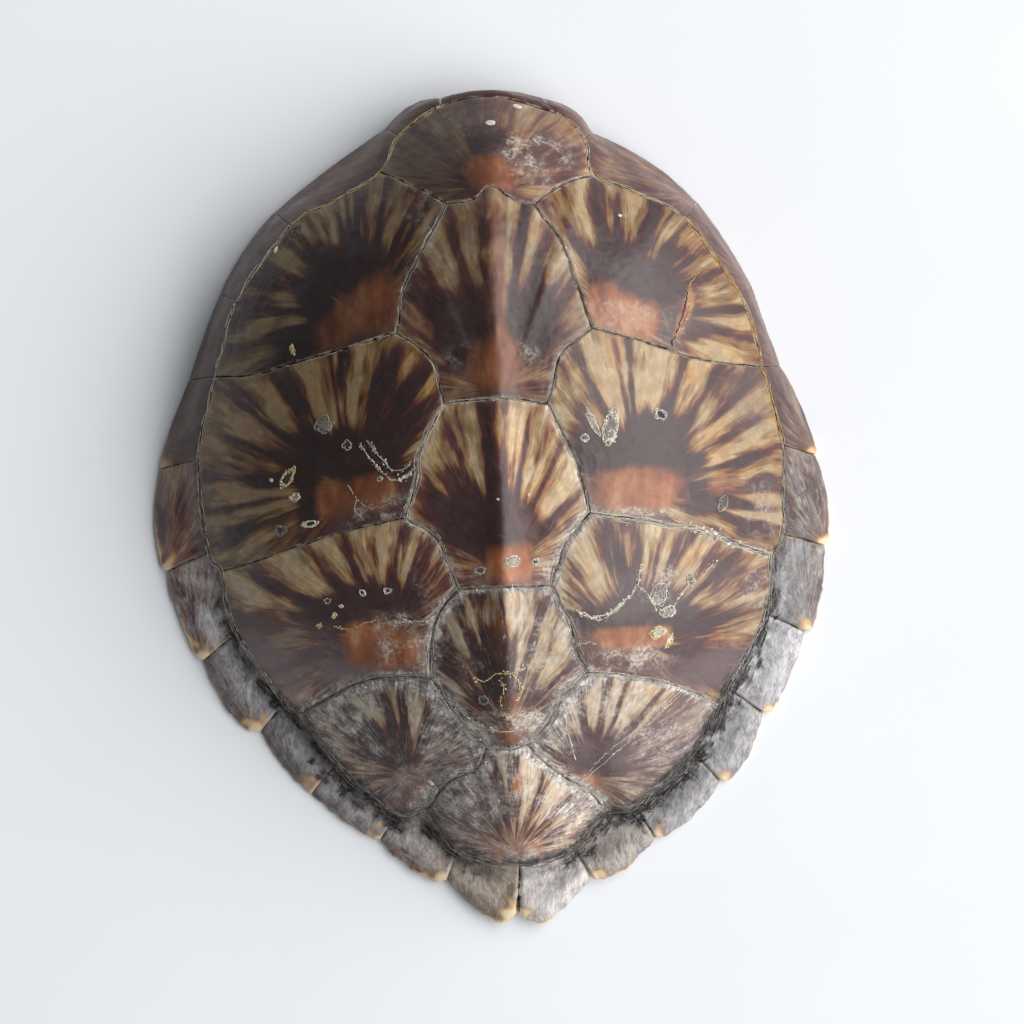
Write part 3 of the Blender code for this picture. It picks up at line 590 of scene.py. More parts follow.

# The marks of each scute. Its growth point is "fan"; "film" is its grey dust, with more or less
# of it in the "dusty" spots; the tone is its brightness left and right of the "keel" line, given
# as x and the half width of the change, partly the horn's own and partly painted shade on the left
# side and painted light on the right side, where the light falls; "bold" is how strong the streaks are.
# Streaks are (direction in degrees, half width in degrees, from mm, to mm, strength) about the
# growth point; a strength above 0 darkens and one below 0 lightens. Spots are
# (x, y, half length, half width, turn in degrees, strength).
VERTEBRALS = {
    "vertebral_1": {
        "fan": (4.5, 131.0),
        "film": 0.08,
        "keel": (4.2, 14.0),
        "haze": (
            (4, 158, 40, 16, 0, 0.42), (20, 138, 9, 6, 0, 0.4), (-20, 140, 12, 9, 0, 0.4),
            (4.5, 143, 11, 13, 0, -0.6),
        ),
        "tone": (0.32, 1.25),
        "bold": 0.62,
        "dark": (
            (5, 149, 8, 7, 0, 0.8), (4.5, 137, 9, 7, 0, 1.0), (25, 146, 6, 7, 0, 0.2),
            (38, 142, 6, 6, 0, 0.4), (2, 158, 30, 14, 0, 0.12),
        ),
        "orange": ((4.5, 136.5, 10, 8, 0, 1.0),),
        "pale": ((24, 147, 13, 6, -10, 1.0), (20, 136, 8, 5, 0, 0.6), (-8, 158, 10, 5, 20, 0.3)),
        "streaks": ((90, 12, 20, 45, 0.25), (60, 10, 15, 40, -0.2), (125, 12, 15, 40, -0.2)),
    },
    "vertebral_2": {
        "fan": (4.5, 47.5),
        "keel": (6.0, 6.0),
        "film": 0.14,
        "tone": (0.52, 0.84),
        "bold": 0.52,
        "dark": (
            (-13, 76, 8, 11, 15, 0.9), (19, 77, 9, 13, -10, 0.9), (1.0, 88, 2.4, 36, 0, 0.3),
            (-10, 62, 6, 5, 0, 0.6), (18, 63, 5, 5, 0, 0.5), (4, 92, 28, 30, 0, 0.2),
        ),
        "orange": ((4.5, 58, 10, 11, 0, 1.0), (7.0, 96, 3.2, 32, 0, 0.6), (-25, 76, 4, 8, 30, 0.5)),
        "pale": ((-10, 62, 5, 4, 30, 0.5), (16, 62, 5, 4, -30, 0.5)),
        "streaks": (
            (83, 2, 30, 80, -0.45), (79, 1.5, 30, 80, 0.3), (75, 2, 30, 80, -0.45), (70, 2, 40, 80, 0.3),
            (63, 3, 35, 70, -0.4), (98, 3, 35, 85, -0.3), (104, 2, 40, 85, 0.3), (110, 4, 35, 80, -0.35),
            (52, 3, 25, 60, 0.3), (128, 4, 25, 60, 0.3),
        ),
    },
    "vertebral_3": {
        "fan": (4.0, -26.0),
        "keel": (5.2, 1.8),
        "film": 0.1,
        "tone": (0.8, 1.32),
        "bold": 0.75,
        "dark": (
            (-6, -4, 13, 12, 0, 1.0), (10, 0, 4.5, 18, 0, 0.6), (15, -8, 9, 7, 0, 0.5),
            (-19, 8, 6, 9, 20, 0.6), (1.2, 15, 2.4, 28, 0, 0.5),
        ),
        "orange": ((7, -22, 9, 8, 0, 1.0), (19, -2, 5, 14, -20, 0.35)),
        "pale": ((24, -24, 6, 5, 0, 0.5), (-12, -27, 8, 4, 0, 0.3)),
        "streaks": (
            (120, 5, 30, 65, -0.5), (109, 2.5, 30, 70, 0.4), (100.5, 3, 26, 70, -0.55),
            (94.5, 2, 20, 70, 0.4), (87.5, 1.1, 20, 70, 0.4), (84, 1.4, 34, 70, -0.4),
            (80.9, 1.1, 20, 70, -0.5), (78.2, 0.9, 24, 66, 0.4), (74, 2, 30, 68, -0.45),
            (68, 1.4, 20, 60, -0.4), (63.5, 1.3, 18, 58, 0.6), (53.5, 5.5, 28, 60, -0.5),
            (45.5, 2.5, 18, 45, 0.4), (38, 3, 20, 45, -0.3), (133, 3, 25, 55, 0.35),
        ),
    },
    "vertebral_4": {
        "fan": (3.8, -90.0),
        "keel": (4.0, 2.2),
        "film": 0.25,
        "tone": (0.66, 1.02),
        "bold": 1.1,
        "dark": (
            (-1, -62, 7, 13, 0, 0.9), (12, -74, 5, 8, 0, 0.4), (-9, -80, 6, 6, 0, 0.4),
            (3.6, -60, 2.6, 26, 0, 0.35), (-16, -58, 6, 14, 0, 0.15), (-4, -48, 7, 16, 0, 0.2),
        ),
        "orange": ((0.8, -48, 3.4, 17, 0, 0.55), (7, -80, 4, 8, 20, 0.5), (4, -93, 15, 5, 0, 0.45)),
        "pale": (
            (5, -86, 13, 4, 0, 1.6), (4, -94, 12, 3, 0, 0.5), (18, -58, 8, 14, -20, 0.6),
            (-16, -52, 5, 14, 15, 0.4),
        ),
        "streaks": (
            (87, 2.0, 20, 56, -0.5), (80, 2.4, 14, 60, -0.4), (73.5, 1.6, 16, 50, 0.55),
            (67.5, 2.6, 18, 60, -0.45), (60.5, 1.4, 18, 50, 0.35), (54, 3.5, 20, 50, -0.3),
            (45, 2, 18, 45, 0.3), (98, 5, 26, 64, 0.3), (105, 1.1, 34, 62, -0.6), (109.5, 2, 24, 60, 0.3),
            (115.5, 2.4, 34, 58, -0.5), (124, 5, 20, 55, 0.3),
        ),
    },
    "vertebral_5": {
        "fan": (5.0, -143.0),
        "keel": (2.5, 9.0),
        "film": 0.31,
        "dusty": (
            (-13, -119, 15, 12, 40, 0.075), (34, -124, 12, 7, 40, 0.07), (8, -128, 5, 9, 0, -0.06),
            (6, -146, 11, 4.5, 0, 0.06),
        ),
        "haze": ((-14, -120, 16, 12, 40, 0.55),),
        "tone": (0.76, 1.42),
        "bold": 1.0,
        "dark": ((3, -124, 6, 9, 0, 0.4), (-12, -128, 6, 5, 30, 0.4)),
        "orange": ((7, -113, 2.2, 5, 0, 1.0), (6, -144, 12, 5, 0, 0.75)),
        "pale": ((6, -146, 9, 4, 0, 0.9), (12, -118, 10, 9, 0, 0.6), (-8, -118, 7, 8, 0, 0.4)),
        "streaks": (
            (95, 2.5, 22, 50, -0.35), (101, 2.5, 12, 50, 0.4), (88, 2, 14, 50, 0.35), (78, 6, 14, 50, -0.5),
            (69, 2, 20, 50, 0.4), (57, 7, 14, 45, -0.5), (45, 2.5, 18, 45, 0.35), (118, 6, 14, 50, 0.35),
            (109, 2.5, 14, 50, -0.3), (131, 5, 14, 45, -0.2),
        ),
    },
}


# Without a seed of its own, noise_vector starts from the clock and no two runs are alike.
SEAM_SEED = 3
noise.seed_set(SEAM_SEED)
# The wide and the fine waver of the seams: (size, place in the noise, reach).
SEAM_WAVER = ((6.0, 0.0, 0.45), (1.9, 5.0, 0.16))


def wobble(place):
    """The uneven line of a seam: the same shift for both scutes that meet there."""
    shift = np.zeros(place.shape)
    for size, level, reach in SEAM_WAVER:
        found = [noise.noise_vector(Vector((x / size, y / size, level)))[:2] for x, y in place]
        shift += reach * np.array(found)
    return place + shift


def seam_row(name):
    side = name.rsplit("_", 1)[1]
    corners = [ring_line[ring_at[p, side]][:2] if isinstance(p, str) else p for p in SEAMS[name]]
    return smooth_line(corners, SEAM_STEP)


def ring_row(start, start_side, end, end_side):
    first, last = ring_at[start, start_side], ring_at[end, end_side]
    if first <= last:
        return ring_line[first:last + 1, :2]
    return np.concatenate([ring_line[first:], ring_line[:last + 1]])[:, :2]


def around(*parts):
    """A closed outline from rows that follow on; a name with a minus is a seam walked backwards."""
    rows = []
    for part in parts:
        if isinstance(part, str):
            part = seam_row(part[1:])[::-1] if part[0] == "-" else seam_row(part)
        rows.append(part[:-1])
    return wobble(np.concatenate(rows))


def spot_field(place, spots):
    """The sum of soft-edged turned ellipses."""
    total = np.zeros(len(place))
    for x, y, long, wide, turn, strength in spots:
        away = place - (x, y)
        c, s = math.cos(math.radians(turn)), math.sin(math.radians(turn))
        off = np.abs(away[:, 0] * c + away[:, 1] * s) / long, np.abs(away[:, 1] * c - away[:, 0] * s) / wide
        total = total + strength / (1 + np.exp(5.0 * (np.cbrt(off[0]**3 + off[1]**3) - 1.0)))
    return total


def streak_field(angle, reach, streaks):
    """The sum of soft-edged wedges about the growth point."""
    total = np.zeros(len(angle))
    for direction, half, start, end, strength in streaks:
        off = (np.degrees(angle) - direction + 180) % 360 - 180
        along = 1 / (1 + np.exp(-(reach - start) / 1.6)) / (1 + np.exp((reach - end) / 2.5))
        total = total + strength * np.exp(-((off / half) ** 4)) * along
    return total


def outline_distance(place, outline):
    """How far each place is from the closed outline."""
    start, end = outline, np.roll(outline, -1, axis=0)
    run = end - start
    length = np.maximum((run**2).sum(1), 1e-9)
    found = np.empty(len(place))
    for k in range(0, len(place), 4000):
        away = place[k:k + 4000, None, :] - start[None]
        t = np.clip((away * run[None]).sum(2) / length, 0, 1)
        found[k:k + 4000] = np.sqrt(((away - t[..., None] * run[None]) ** 2).sum(2)).min(1)
    return found


def lumps(place, size, shift=0.0):
    """Smooth noise from about -0.5 to 0.5 over places in plan, with lumps of the given size."""
    return np.array([noise.noise(Vector((x / size, y / size, shift))) for x, y in place])


def set_field(piece, name, values):
    kind = "FLOAT" if np.ndim(values) == 1 else "FLOAT_VECTOR"
    data = piece.data.attributes.new(name, kind, "POINT").data
    data.foreach_set("value" if kind == "FLOAT" else "vector", np.ravel(values).astype(np.float32))


def channel_grit_and_shade(place):
    """How much dirt and painted shade of the groove lie on the dome beside the channel at the rear of the
    ring.
    """
    behind = np.clip((GRIT_SHADE_FROM_Y - place[:, 1]) / GRIT_SHADE_FADE, 0, 1)
    behind *= np.where(place[:, 0] > 0, 1.0, GRIT_SHADE_ON_LEFT)
    return behind * np.exp(-((outline_distance(place, ring_line[::6, :2]) / GRIT_SHADE_REACH) ** 2))


# Seams that crust lies along: (name, half width, strength).
CRUSTED = (
    ("v3_c3_right", 3.6, 0.9), ("v3_c3_left", 2.6, 0.6), ("v4_c3_left", 3.4, 0.9),
    ("v4_c3_right", 2.6, 0.6), ("v4_c4_left", 4.5, 1.0), ("v4_c4_right", 3.4, 0.8), ("v4_v5", 2.4, 0.5),
    ("c3_c4_left", 4.0, 0.8), ("c3_c4_right", 2.0, 0.6), ("v5_c4_left", 3.4, 0.8),
    ("v5_c4_right", 3.0, 0.6), ("v3_c2_right", 2.4, 0.6), ("v3_c2_left", 2.6, 0.5),
    ("c2_c3_right", 1.8, 0.6), ("v2_c1_left", 2.4, 0.5), ("v2_c1_right", 2.2, 0.4),
    ("v2_c2_right", 2.0, 0.6), ("v3_v4", 2.0, 0.6), ("v2_v3", 1.6, 0.5), ("v1_c1_left", 1.6, 0.4),
)


def crust_near(place):
    """How much crust lies beside the seams."""
    found = np.zeros(len(place))
    for name, width, strength in CRUSTED:
        row = seam_row(name)
        gap = np.hypot(place[:, :1] - row[:, 0], place[:, 1:] - row[:, 1]).min(1)
        found = np.maximum(found, strength * np.exp(-((gap / width) ** 2)))
    return found


horn_lifts = []


def dome_scute(name, outline, marks, seed, material):
    """One plate of horn on the dome, with the fields that its finish reads."""
    middle = outline.mean(0)
    inward = middle - outline
    reach = np.linalg.norm(inward, axis=1)
    along = np.roll(outline, -1, axis=0) - np.roll(outline, 1, axis=0)
    normal = unit(np.stack([-along[:, 1], along[:, 0]], axis=1))
    facing = np.clip(np.abs((normal * inward).sum(1)) / reach, 0.5, 1.0)
    for _ in range(6):
        facing = (np.roll(facing, 1) + facing + np.roll(facing, -1)) / 3
    rows = []
    for inset in EDGE_LOOPS:
        rows.append(outline + inward * ((inset + SEAM_GAP) / (reach * facing))[:, None])
    first = (EDGE_LOOPS[-1] + SEAM_GAP) / (reach * facing)
    loops = int(reach.max() / LOOP_STEP)
    for step in range(1, loops):
        rows.append(outline + inward * (first + (1 - first) * step / loops)[:, None])
    plan = np.concatenate(rows + [middle[None, :]])
    point, normal = dome_point(plan)
    edge = outline_distance(plan, outline)
    fan = np.array(marks["fan"])
    arm = plan - fan
    angle = np.arctan2(arm[:, 1], arm[:, 0])
    far = np.hypot(arm[:, 0], arm[:, 1])
    ray = np.stack([np.cos(angle) + seed * 3.1, np.sin(angle), far / FAN_UNIT], axis=1)
    ripple = np.sin(edge * 2.6 + 5 * lumps(plan, 9.0, seed)) * np.exp(-edge / 12)
    lift = -ROLL_DOWN * np.exp(-((edge / ROLL_WIDTH) ** 2)) + PILLOW * (1 - np.exp(-edge / PILLOW_WIDTH))
    bead = np.exp(-(((edge - BEAD_INSET) / BEAD_WIDTH) ** 2))
    lift += BEAD * bead * (0.6 + 1.2 * lumps(plan, 5.0, seed + 9))
    lift += RIPPLE * ripple + SWELL * lumps(plan, 11.0, seed + 3) + DIMPLE * lumps(plan, 3.0, seed + 5)
    blunt = np.clip((np.abs(plan[:, 1] - KEEL_SHARP[0]) - KEEL_SHARP[1]) / KEEL_SHARP[2], 0, 1)
    blunt = KEEL_ROUND[0] + (KEEL_ROUND[1] - KEEL_ROUND[0]) * blunt
    lift += KEEL_LINE * np.exp(-np.hypot(plan[:, 0] - KEEL_X, blunt) / KEEL_FLANK)
    horn_lifts.append((plan, lift))
    heading = math.radians(AHEAD[name.rsplit("_", 2)[0]])
    front = arm[:, 0] * math.cos(heading) + arm[:, 1] * math.sin(heading)
    ahead = np.clip((front + 0.4 * far + 3) / 9, 0.1, 1.0)
    crust = crust_near(plan)
    top = point + normal * lift[:, None]
    count = len(outline)
    under = []
    for share in UNDER_LOOPS:
        place = rows[0] + (middle - rows[0]) * share
        low_point, low_normal = dome_point(place)
        under.append(low_point - low_normal * HORN)
    low_middle, low_normal = dome_point(middle[None, :])
    points = np.concatenate([top] + under + [low_middle - low_normal * HORN])
    start = len(top)
    faces = loft_faces(len(rows), count) + pole_faces(start - 1, start - 1 - count, count)
    faces += loft_faces(len(UNDER_LOOPS), count, start)
    faces += pole_faces(len(points) - 1, len(points) - 1 - count, count)
    faces += [[k, (k + 1) % count, start + (k + 1) % count, start + k] for k in range(count)]
    piece = closed_mesh(name, points, faces, material)
    spare = len(points) - len(top)
    dark = spot_field(plan, marks["dark"]) + streak_field(angle, far, marks["streaks"]) + 0.16 * (1 - ahead)
    # The tone changes across the keel line: partly the horn's own, partly painted shade on the left slope and
    # painted light on the right slope.
    crest, blend = marks.get("keel", (KEEL_X, 1.0))
    off_crest = plan[:, 0] + KEEL_WAVER * lumps(plan, 9.0, seed + 7)
    fields = {
        "Ray": ray, "Dark": dark, "Orange": spot_field(plan, marks["orange"]),
        "Pale": spot_field(plan, marks["pale"]) + 0.6 * crust,
        "Film": marks["film"] + spot_field(plan, marks.get("dusty", ())) + 0.4 * crust,
        "Tone": np.interp(off_crest, (crest - blend, crest + blend), marks["tone"]),
        "Bold": marks["bold"] * ahead,
        "Haze": spot_field(plan, marks.get("haze", ())) + 0.35 * (1 - ahead),
        "Edge": edge, "Amber": np.zeros(len(plan)), "Grit": channel_grit_and_shade(plan),
    }
    for field, values in fields.items():
        tail = np.repeat(values[:1], spare, axis=0)
        set_field(piece, field, np.concatenate([values, tail]))
    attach(piece, "root")
    return piece


HORN_STOPS = (
    (0.00, (0.44, 0.30, 0.145)), (0.14, (0.30, 0.190, 0.074)), (0.28, (0.235, 0.132, 0.040)),
    (0.40, (0.255, 0.120, 0.040)), (0.49, (0.175, 0.066, 0.032)), (0.58, (0.120, 0.040, 0.027)),
    (0.74, (0.080, 0.026, 0.023)), (1.00, (0.046, 0.018, 0.018)),
)
ORANGE_STOPS = ((0.15, (0.19, 0.055, 0.020)), (0.5, (0.29, 0.100, 0.036)), (0.85, (0.42, 0.20, 0.10)))
BLEACHED = (0.62, 0.545, 0.45, 1.0)
AMBER_CAST = (1.08, 0.80, 0.52, 1.0)
HAZE_MAUVE = (0.140, 0.096, 0.100, 1.0)
BLOTCH = (0.74, 0.72, 0.70, 1.0)
SEAM_DARK = (0.040, 0.028, 0.020, 1.0)
SEAM_PALE = (0.52, 0.42, 0.28, 1.0)
SCRATCH_PALE = (0.50, 0.42, 0.34, 1.0)
DUST_ON_DOME = (
    (0.40, (0.080, 0.058, 0.058)), (0.46, (0.19, 0.158, 0.155)), (0.51, (0.35, 0.31, 0.285)),
    (0.59, (0.70, 0.645, 0.575)),
)
DUST_ON_RIM = ((0.38, (0.20, 0.180, 0.19)), (0.49, (0.39, 0.375, 0.385)), (0.62, (0.60, 0.59, 0.58)))
GROOVE_DARK = (0.50, 0.47, 0.46, 1.0)
SCRAPED = (1.5, 1.48, 1.45, 1.0)
EARTHY = (0.97, 0.84, 0.66, 1.0)
AMBER_STOPS = ((0.2, (0.27, 0.10, 0.05)), (0.45, (0.56, 0.31, 0.13)), (0.75, (0.82, 0.65, 0.41)))
# Near-black soil of the channel, which is also painted shade of the deep groove.
SOIL_AND_SHADE_STOPS = (
    (0.40, (0.008, 0.007, 0.008)), (0.50, (0.030, 0.028, 0.030)), (0.58, (0.11, 0.105, 0.11)),
    (0.68, (0.30, 0.29, 0.29)),
)
# The patterns of the horn: how far each is drawn out, its scale, detail, roughness and shift.
# Those on the rays are drawn out from the growth point.
PATTERNS = {
    "broad ray": ((5.0, 5.0, 2.6), 1.0, 1.0, 0.5, 0.0), "ray": ((15.0, 15.0, 3.0), 1.0, 2.0, 0.6, 11.0),
    "fine ray": ((44.0, 44.0, 5.0), 1.0, 2.0, 0.5, 23.0), "hair": ((120.0, 120.0, 5.0), 1.0, 1.0, 0.5, 41.0),
    "bleach": ((30.0, 30.0, 8.0), 1.0, 4.0, 0.65, 47.0), "warm": ((9.0, 9.0, 3.0), 1.0, 3.0, 0.6, 37.0),
    "drift": ((34.0, 34.0, 7.0), 1.0, 5.0, 0.65, 53.0), "combed": ((44.0, 44.0, 7.0), 1.0, 4.0, 0.7, 67.0),
    "blotch": (EVEN, 170.0, 3.0, 0.6, 17.0), "blur": ((150.0, 60.0, 60.0), 1.0, 2.0, 0.6, 31.0),
    "worn": (EVEN, 120.0, 4.0, 0.65, 2.0), "chip": (EVEN, 620.0, 4.0, 0.7, 91.0),
    "cloud": (EVEN, 130.0, 6.0, 0.72, 51.0), "streaky": ((520.0, 120.0, 120.0), 1.0, 5.0, 0.75, 61.0),
    "powder": (EVEN, 210.0, 6.0, 0.78, 61.0), "crumb": (EVEN, 420.0, 4.0, 0.7, 71.0),
    "wrinkle": (EVEN, 1.0, 5.0, 0.7, 83.0), "speck": (EVEN, 260.0, 3.0, 0.5, 5.0),
}
SCRATCH_STRETCH = (2300.0, 70.0, 70.0)
SCORE_STRETCH = (1700.0, 130.0, 130.0)
# The directions of the scratches in the horn and of those in the dust, and their shifts.
SCRATCHES = ((0.5, 3.0), (-0.9, 7.0), (1.9, 13.0))
SCORES = ((0.45, 21.0), (-0.3, 29.0))
WRINKLE_ACROSS = (130.0, 130.0, 130.0)
HAIR_LIGHT = (1.08, 1.07, 1.05, 1.0)
HAIR_DARK = (0.93, 0.925, 0.925, 1.0)
# From and to which value each layer comes in, and how much of it there is at either end.
ORANGE_COVER = (0.28, 0.85)
AMBER_COVER = (0.08, 0.5)
WARM_COVER = (0.47, 0.66, 0.0, 0.85)
FILM_COVER = (0.80, 0.94, 0.0, 0.92)
DIRT_AND_SHADE_COVER = (1.45, 2.15)
# How much of the dust's pattern is drawn along the rays (dome) or swept (rim).
COMBED_SHARE = 0.38
SWEPT_SHARE = 0.5
HORN_ROUGH = 0.3
HORN_IOR = 1.55


def horn_finish(name, stops, base_dark, gloss, dust, combed):
    """Keratin: streaks that fan out from the growth point, from cream through amber to near
    black, an orange patch, scratches, dust film and worn pale edges beside the dark seams."""
    material, tree, shader, place = new_finish(name)

    def field(of):
        made = put(tree, "ShaderNodeAttribute", attribute_name=of)
        return made.outputs["Vector"] if of == "Ray" else made.outputs["Fac"]

    def pattern(of, vector):
        return grain(tree, vector, *PATTERNS[of])

    def total(first, second, clamp=False):
        return sums(tree, "ADD", first, second, clamp=clamp)

    def product(first, second, clamp=False):
        return sums(tree, "MULTIPLY", first, second, clamp=clamp)

    def weighed(value, by, plus, clamp=False):
        return sums(tree, "MULTIPLY_ADD", value, by, plus, clamp)

    # Pigment, in streaks along the rays.
    waver = put(tree, "ShaderNodeTexNoise", {"Vector": place, "Scale": 45.0, "Detail": 1.0}).outputs["Color"]
    shaken = vectors(tree, "SCALE", {0: waver, 3: 0.10})
    ray = vectors(tree, "ADD", {0: field("Ray"), 1: shaken})
    fine = pattern("fine ray", ray)
    streak = weighed(pattern("broad ray", ray), 1.8, -0.9)
    streak = weighed(pattern("ray", ray), 1.9, total(streak, -0.95))
    streak = weighed(fine, 0.5, total(streak, -0.25))
    outward = put(tree, "ShaderNodeSeparateXYZ", {0: field("Ray")}).outputs["Z"]
    streak = product(streak, between(tree, outward, 0.04, 0.3, 0.15, 1.0))
    streak = product(streak, field("Bold"))
    streak = total(streak, base_dark)
    streak = total(streak, between(tree, outward, 0.4, 0.85, 0.07, -0.03))
    pigment = total(streak, field("Dark"), clamp=True)
    colour = colours(tree, pigment, stops)
    # Where the dust lies, the palest horn is bleached; haze and orange lie in the placed spots.
    bleach = product(sums(tree, "SUBTRACT", 0.62, pigment, clamp=True), field("Film"))
    thin = between(tree, pattern("bleach", ray), 0.4, 0.6, 0.8, 5.5)
    bleach = product(bleach, thin, clamp=True)
    colour = tint(tree, bleach, colour, BLEACHED)
    blotch = pattern("blotch", place)
    colour = tint(tree, between(tree, blotch, 0.35, 0.65), colour, times(tree, colour, BLOTCH))
    haze = product(field("Haze"), between(tree, blotch, 0.3, 0.7, 0.7, 1.0), clamp=True)
    colour = tint(tree, haze, colour, HAZE_MAUVE)
    blur = pattern("blur", place)
    glow = weighed(field("Dark"), -0.4, between(tree, blur, 0.2, 0.8))
    glow = colours(tree, glow, ORANGE_STOPS)
    patch = weighed(fine, 0.1, weighed(blur, 0.8, -0.45))
    patch = between(tree, total(patch, field("Orange")), *ORANGE_COVER)
    colour = tint(tree, patch, colour, glow)
    warm = between(tree, pattern("warm", ray), *WARM_COVER)
    warm = product(warm, sums(tree, "SUBTRACT", 1.0, haze))
    warm = product(warm, between(tree, field("Film"), 0.1, 0.4, 1.0, 0.3))
    colour = tint(tree, warm, colour, times(tree, colour, AMBER_CAST))
    # Fine hairs of lighter and darker horn along the streaks.
    hair = total(pattern("hair", ray), -0.5)
    hair = weighed(hair, sums(tree, "MINIMUM", field("Bold"), 1.0), 0.5)
    lighter, darker = times(tree, colour, HAIR_LIGHT), times(tree, colour, HAIR_DARK)
    colour = tint(tree, between(tree, hair, 0.38, 0.62), darker, lighter)
    # Amber where the horn thins out to an edge.
    amber = field("Amber")
    colour = tint(tree, between(tree, amber, *AMBER_COVER), colour, colours(tree, amber, AMBER_STOPS))
    # Scratches in three directions, thickest where the horn is worn pale.
    scratches = None
    for turn, shift in SCRATCHES:
        spun = put(tree, "ShaderNodeMapping", {"Vector": place, "Rotation": (0.0, 0.0, turn)}).outputs[0]
        line = grain(tree, spun, SCRATCH_STRETCH, 1.0, detail=1.0, shift=shift)
        scratches = line if scratches is None else sums(tree, "MAXIMUM", scratches, line)
    worn = between(tree, pattern("worn", place), 0.35, 0.7)
    pale = total(product(field("Film"), 0.35), field("Pale"))
    threshold = weighed(pale, -0.16, 0.74)
    marks = between(tree, sums(tree, "SUBTRACT", scratches, threshold), 0.0, 0.10)
    marks = product(marks, between(tree, worn, 0.1, 0.9, 0.04, 0.55))
    colour = tint(tree, marks, colour, SCRATCH_PALE)
    crust = product(field("Pale"), between(tree, worn, 0.25, 0.8))
    chip = between(tree, pattern("chip", place), 0.46, 0.58, 0.25, 1.6)
    crust = product(crust, chip, clamp=True)
    colour = tint(tree, crust, colour, SCRATCH_PALE)
    # Dust, in drifts along the rays on the dome and swept along the rim, scored and scraped.
    cloud = product(pattern("cloud", place), 0.45)
    cloud = weighed(pattern("drift", ray), 0.55, cloud)
    film = between(tree, total(cloud, field("Film")), *FILM_COVER)
    film = weighed(field("Film"), 0.2, film, clamp=True)
    film = product(film, between(tree, amber, 0.1, 0.6, 1.0, 0.08))
    swirl = vectors(tree, "ADD", {0: place, 1: vectors(tree, "SCALE", {0: waver, 3: 0.016})})
    streaky = pattern("streaky", swirl)
    lay, share = (pattern("combed", ray), COMBED_SHARE) if combed else (streaky, SWEPT_SHARE)
    powder = product(pattern("powder", place), 1 - share)
    grey = colours(tree, weighed(lay, share, powder), dust)
    for turn, shift in SCORES:
        spun = put(tree, "ShaderNodeMapping", {"Vector": swirl, "Rotation": (0.0, 0.0, turn)}).outputs[0]
        line = grain(tree, spun, SCORE_STRETCH, 1.0, detail=3.0, roughness=0.65, shift=shift)
        grey = tint(tree, between(tree, line, 0.54, 0.68, 0.0, 0.55), grey, times(tree, grey, GROOVE_DARK))
        grey = tint(tree, between(tree, line, 0.44, 0.34, 0.0, 0.6), grey, times(tree, grey, SCRAPED))
    grey = tint(tree, field("Earthy"), grey, times(tree, grey, EARTHY))
    colour = tint(tree, film, colour, grey)
    # The tone scales the colour: partly the horn's own brightness, partly painted shade and painted light by
    # side.
    colour = vectors(tree, "SCALE", {0: colour, 3: field("Tone")})
    # Dirt and painted shade in the channel, the dark line of the seam and the pale worn thread beside it.
    crumb = pattern("crumb", place)
    dirt_and_shade = total(product(crumb, 1.2), product(streaky, 1.2))
    dirt_and_shade = between(tree, total(dirt_and_shade, field("Grit")), *DIRT_AND_SHADE_COVER)
    edge = field("Edge")
    lengthways = put(tree, "ShaderNodeCombineXYZ", {"X": product(edge, 0.8)}).outputs[0]
    lengthways = vectors(tree, "MULTIPLY_ADD", {0: swirl, 1: WRINKLE_ACROSS, 2: lengthways})
    colour = tint(tree, dirt_and_shade, colour, colours(tree, pattern("wrinkle", lengthways), SOIL_AND_SHADE_STOPS))
    speck = pattern("speck", place)
    rough_edge = weighed(speck, 2.4, total(edge, -1.2))
    thread = product(between(tree, rough_edge, 1.3, 0.5), between(tree, speck, 0.45, 0.6))
    thread = product(thread, between(tree, blotch, 0.4, 0.6, 0.15, 0.9))
    colour = tint(tree, thread, colour, SEAM_PALE)
    colour = tint(tree, between(tree, rough_edge, 0.22, 0.0), colour, SEAM_DARK)
    rough = weighed(worn, 0.16, HORN_ROUGH)
    rough = weighed(field("Film"), 0.15, rough)
    rough = weighed(dirt_and_shade, 0.5, rough, clamp=True)
    relief = weighed(marks, -0.6, product(hair, 0.5))
    relief = weighed(worn, 0.8, relief)
    relief = weighed(product(dirt_and_shade, crumb), 3.0, relief)
    wire(tree, shader.inputs, {
        "Base Color": colour, "Roughness": rough, "Normal": bumps(tree, relief, 0.35, 0.0002),
        "IOR": HORN_IOR, "Specular IOR Level": gloss,
    })
    return material


mottled_horn = horn_finish("mottled_horn", HORN_STOPS, 0.40, 0.5, DUST_ON_DOME, combed=True)

VERTEBRAL_OUTLINES = {
    "vertebral_1": (ring_row("C1", "right", "C1", "left"), "v1_c1_left", "v1_v2", "-v1_c1_right"),
    "vertebral_2": ("-v1_v2", "v2_c1_left", "v2_c2_left", "v2_v3", "-v2_c2_right", "-v2_c1_right"),
    "vertebral_3": ("-v2_v3", "v3_c2_left", "v3_c3_left", "v3_v4", "-v3_c3_right", "-v3_c2_right"),
    "vertebral_4": ("-v3_v4", "v4_c3_left", "v4_c4_left", "v4_v5", "-v4_c4_right", "-v4_c3_right"),
    "vertebral_5": ("-v4_v5", "v5_c4_left", ring_row("V5", "left", "V5", "right"), "-v5_c4_right"),
}
for seed, (name, marks) in enumerate(VERTEBRALS.items()):
    scute = dome_scute(f"{name}_horn", around(*VERTEBRAL_OUTLINES[name]), marks, seed, mottled_horn)
    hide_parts(name)

# ---------------------------------------------------------------------------------------------
# Costal scutes. Four large plates of horn on each side of the keel. Each has a near-black heart
# in front of its growth point, an orange patch at it, and wedges of olive and cream between
# dark rays. They are set edge to edge with the vertebrals and down to the rim.

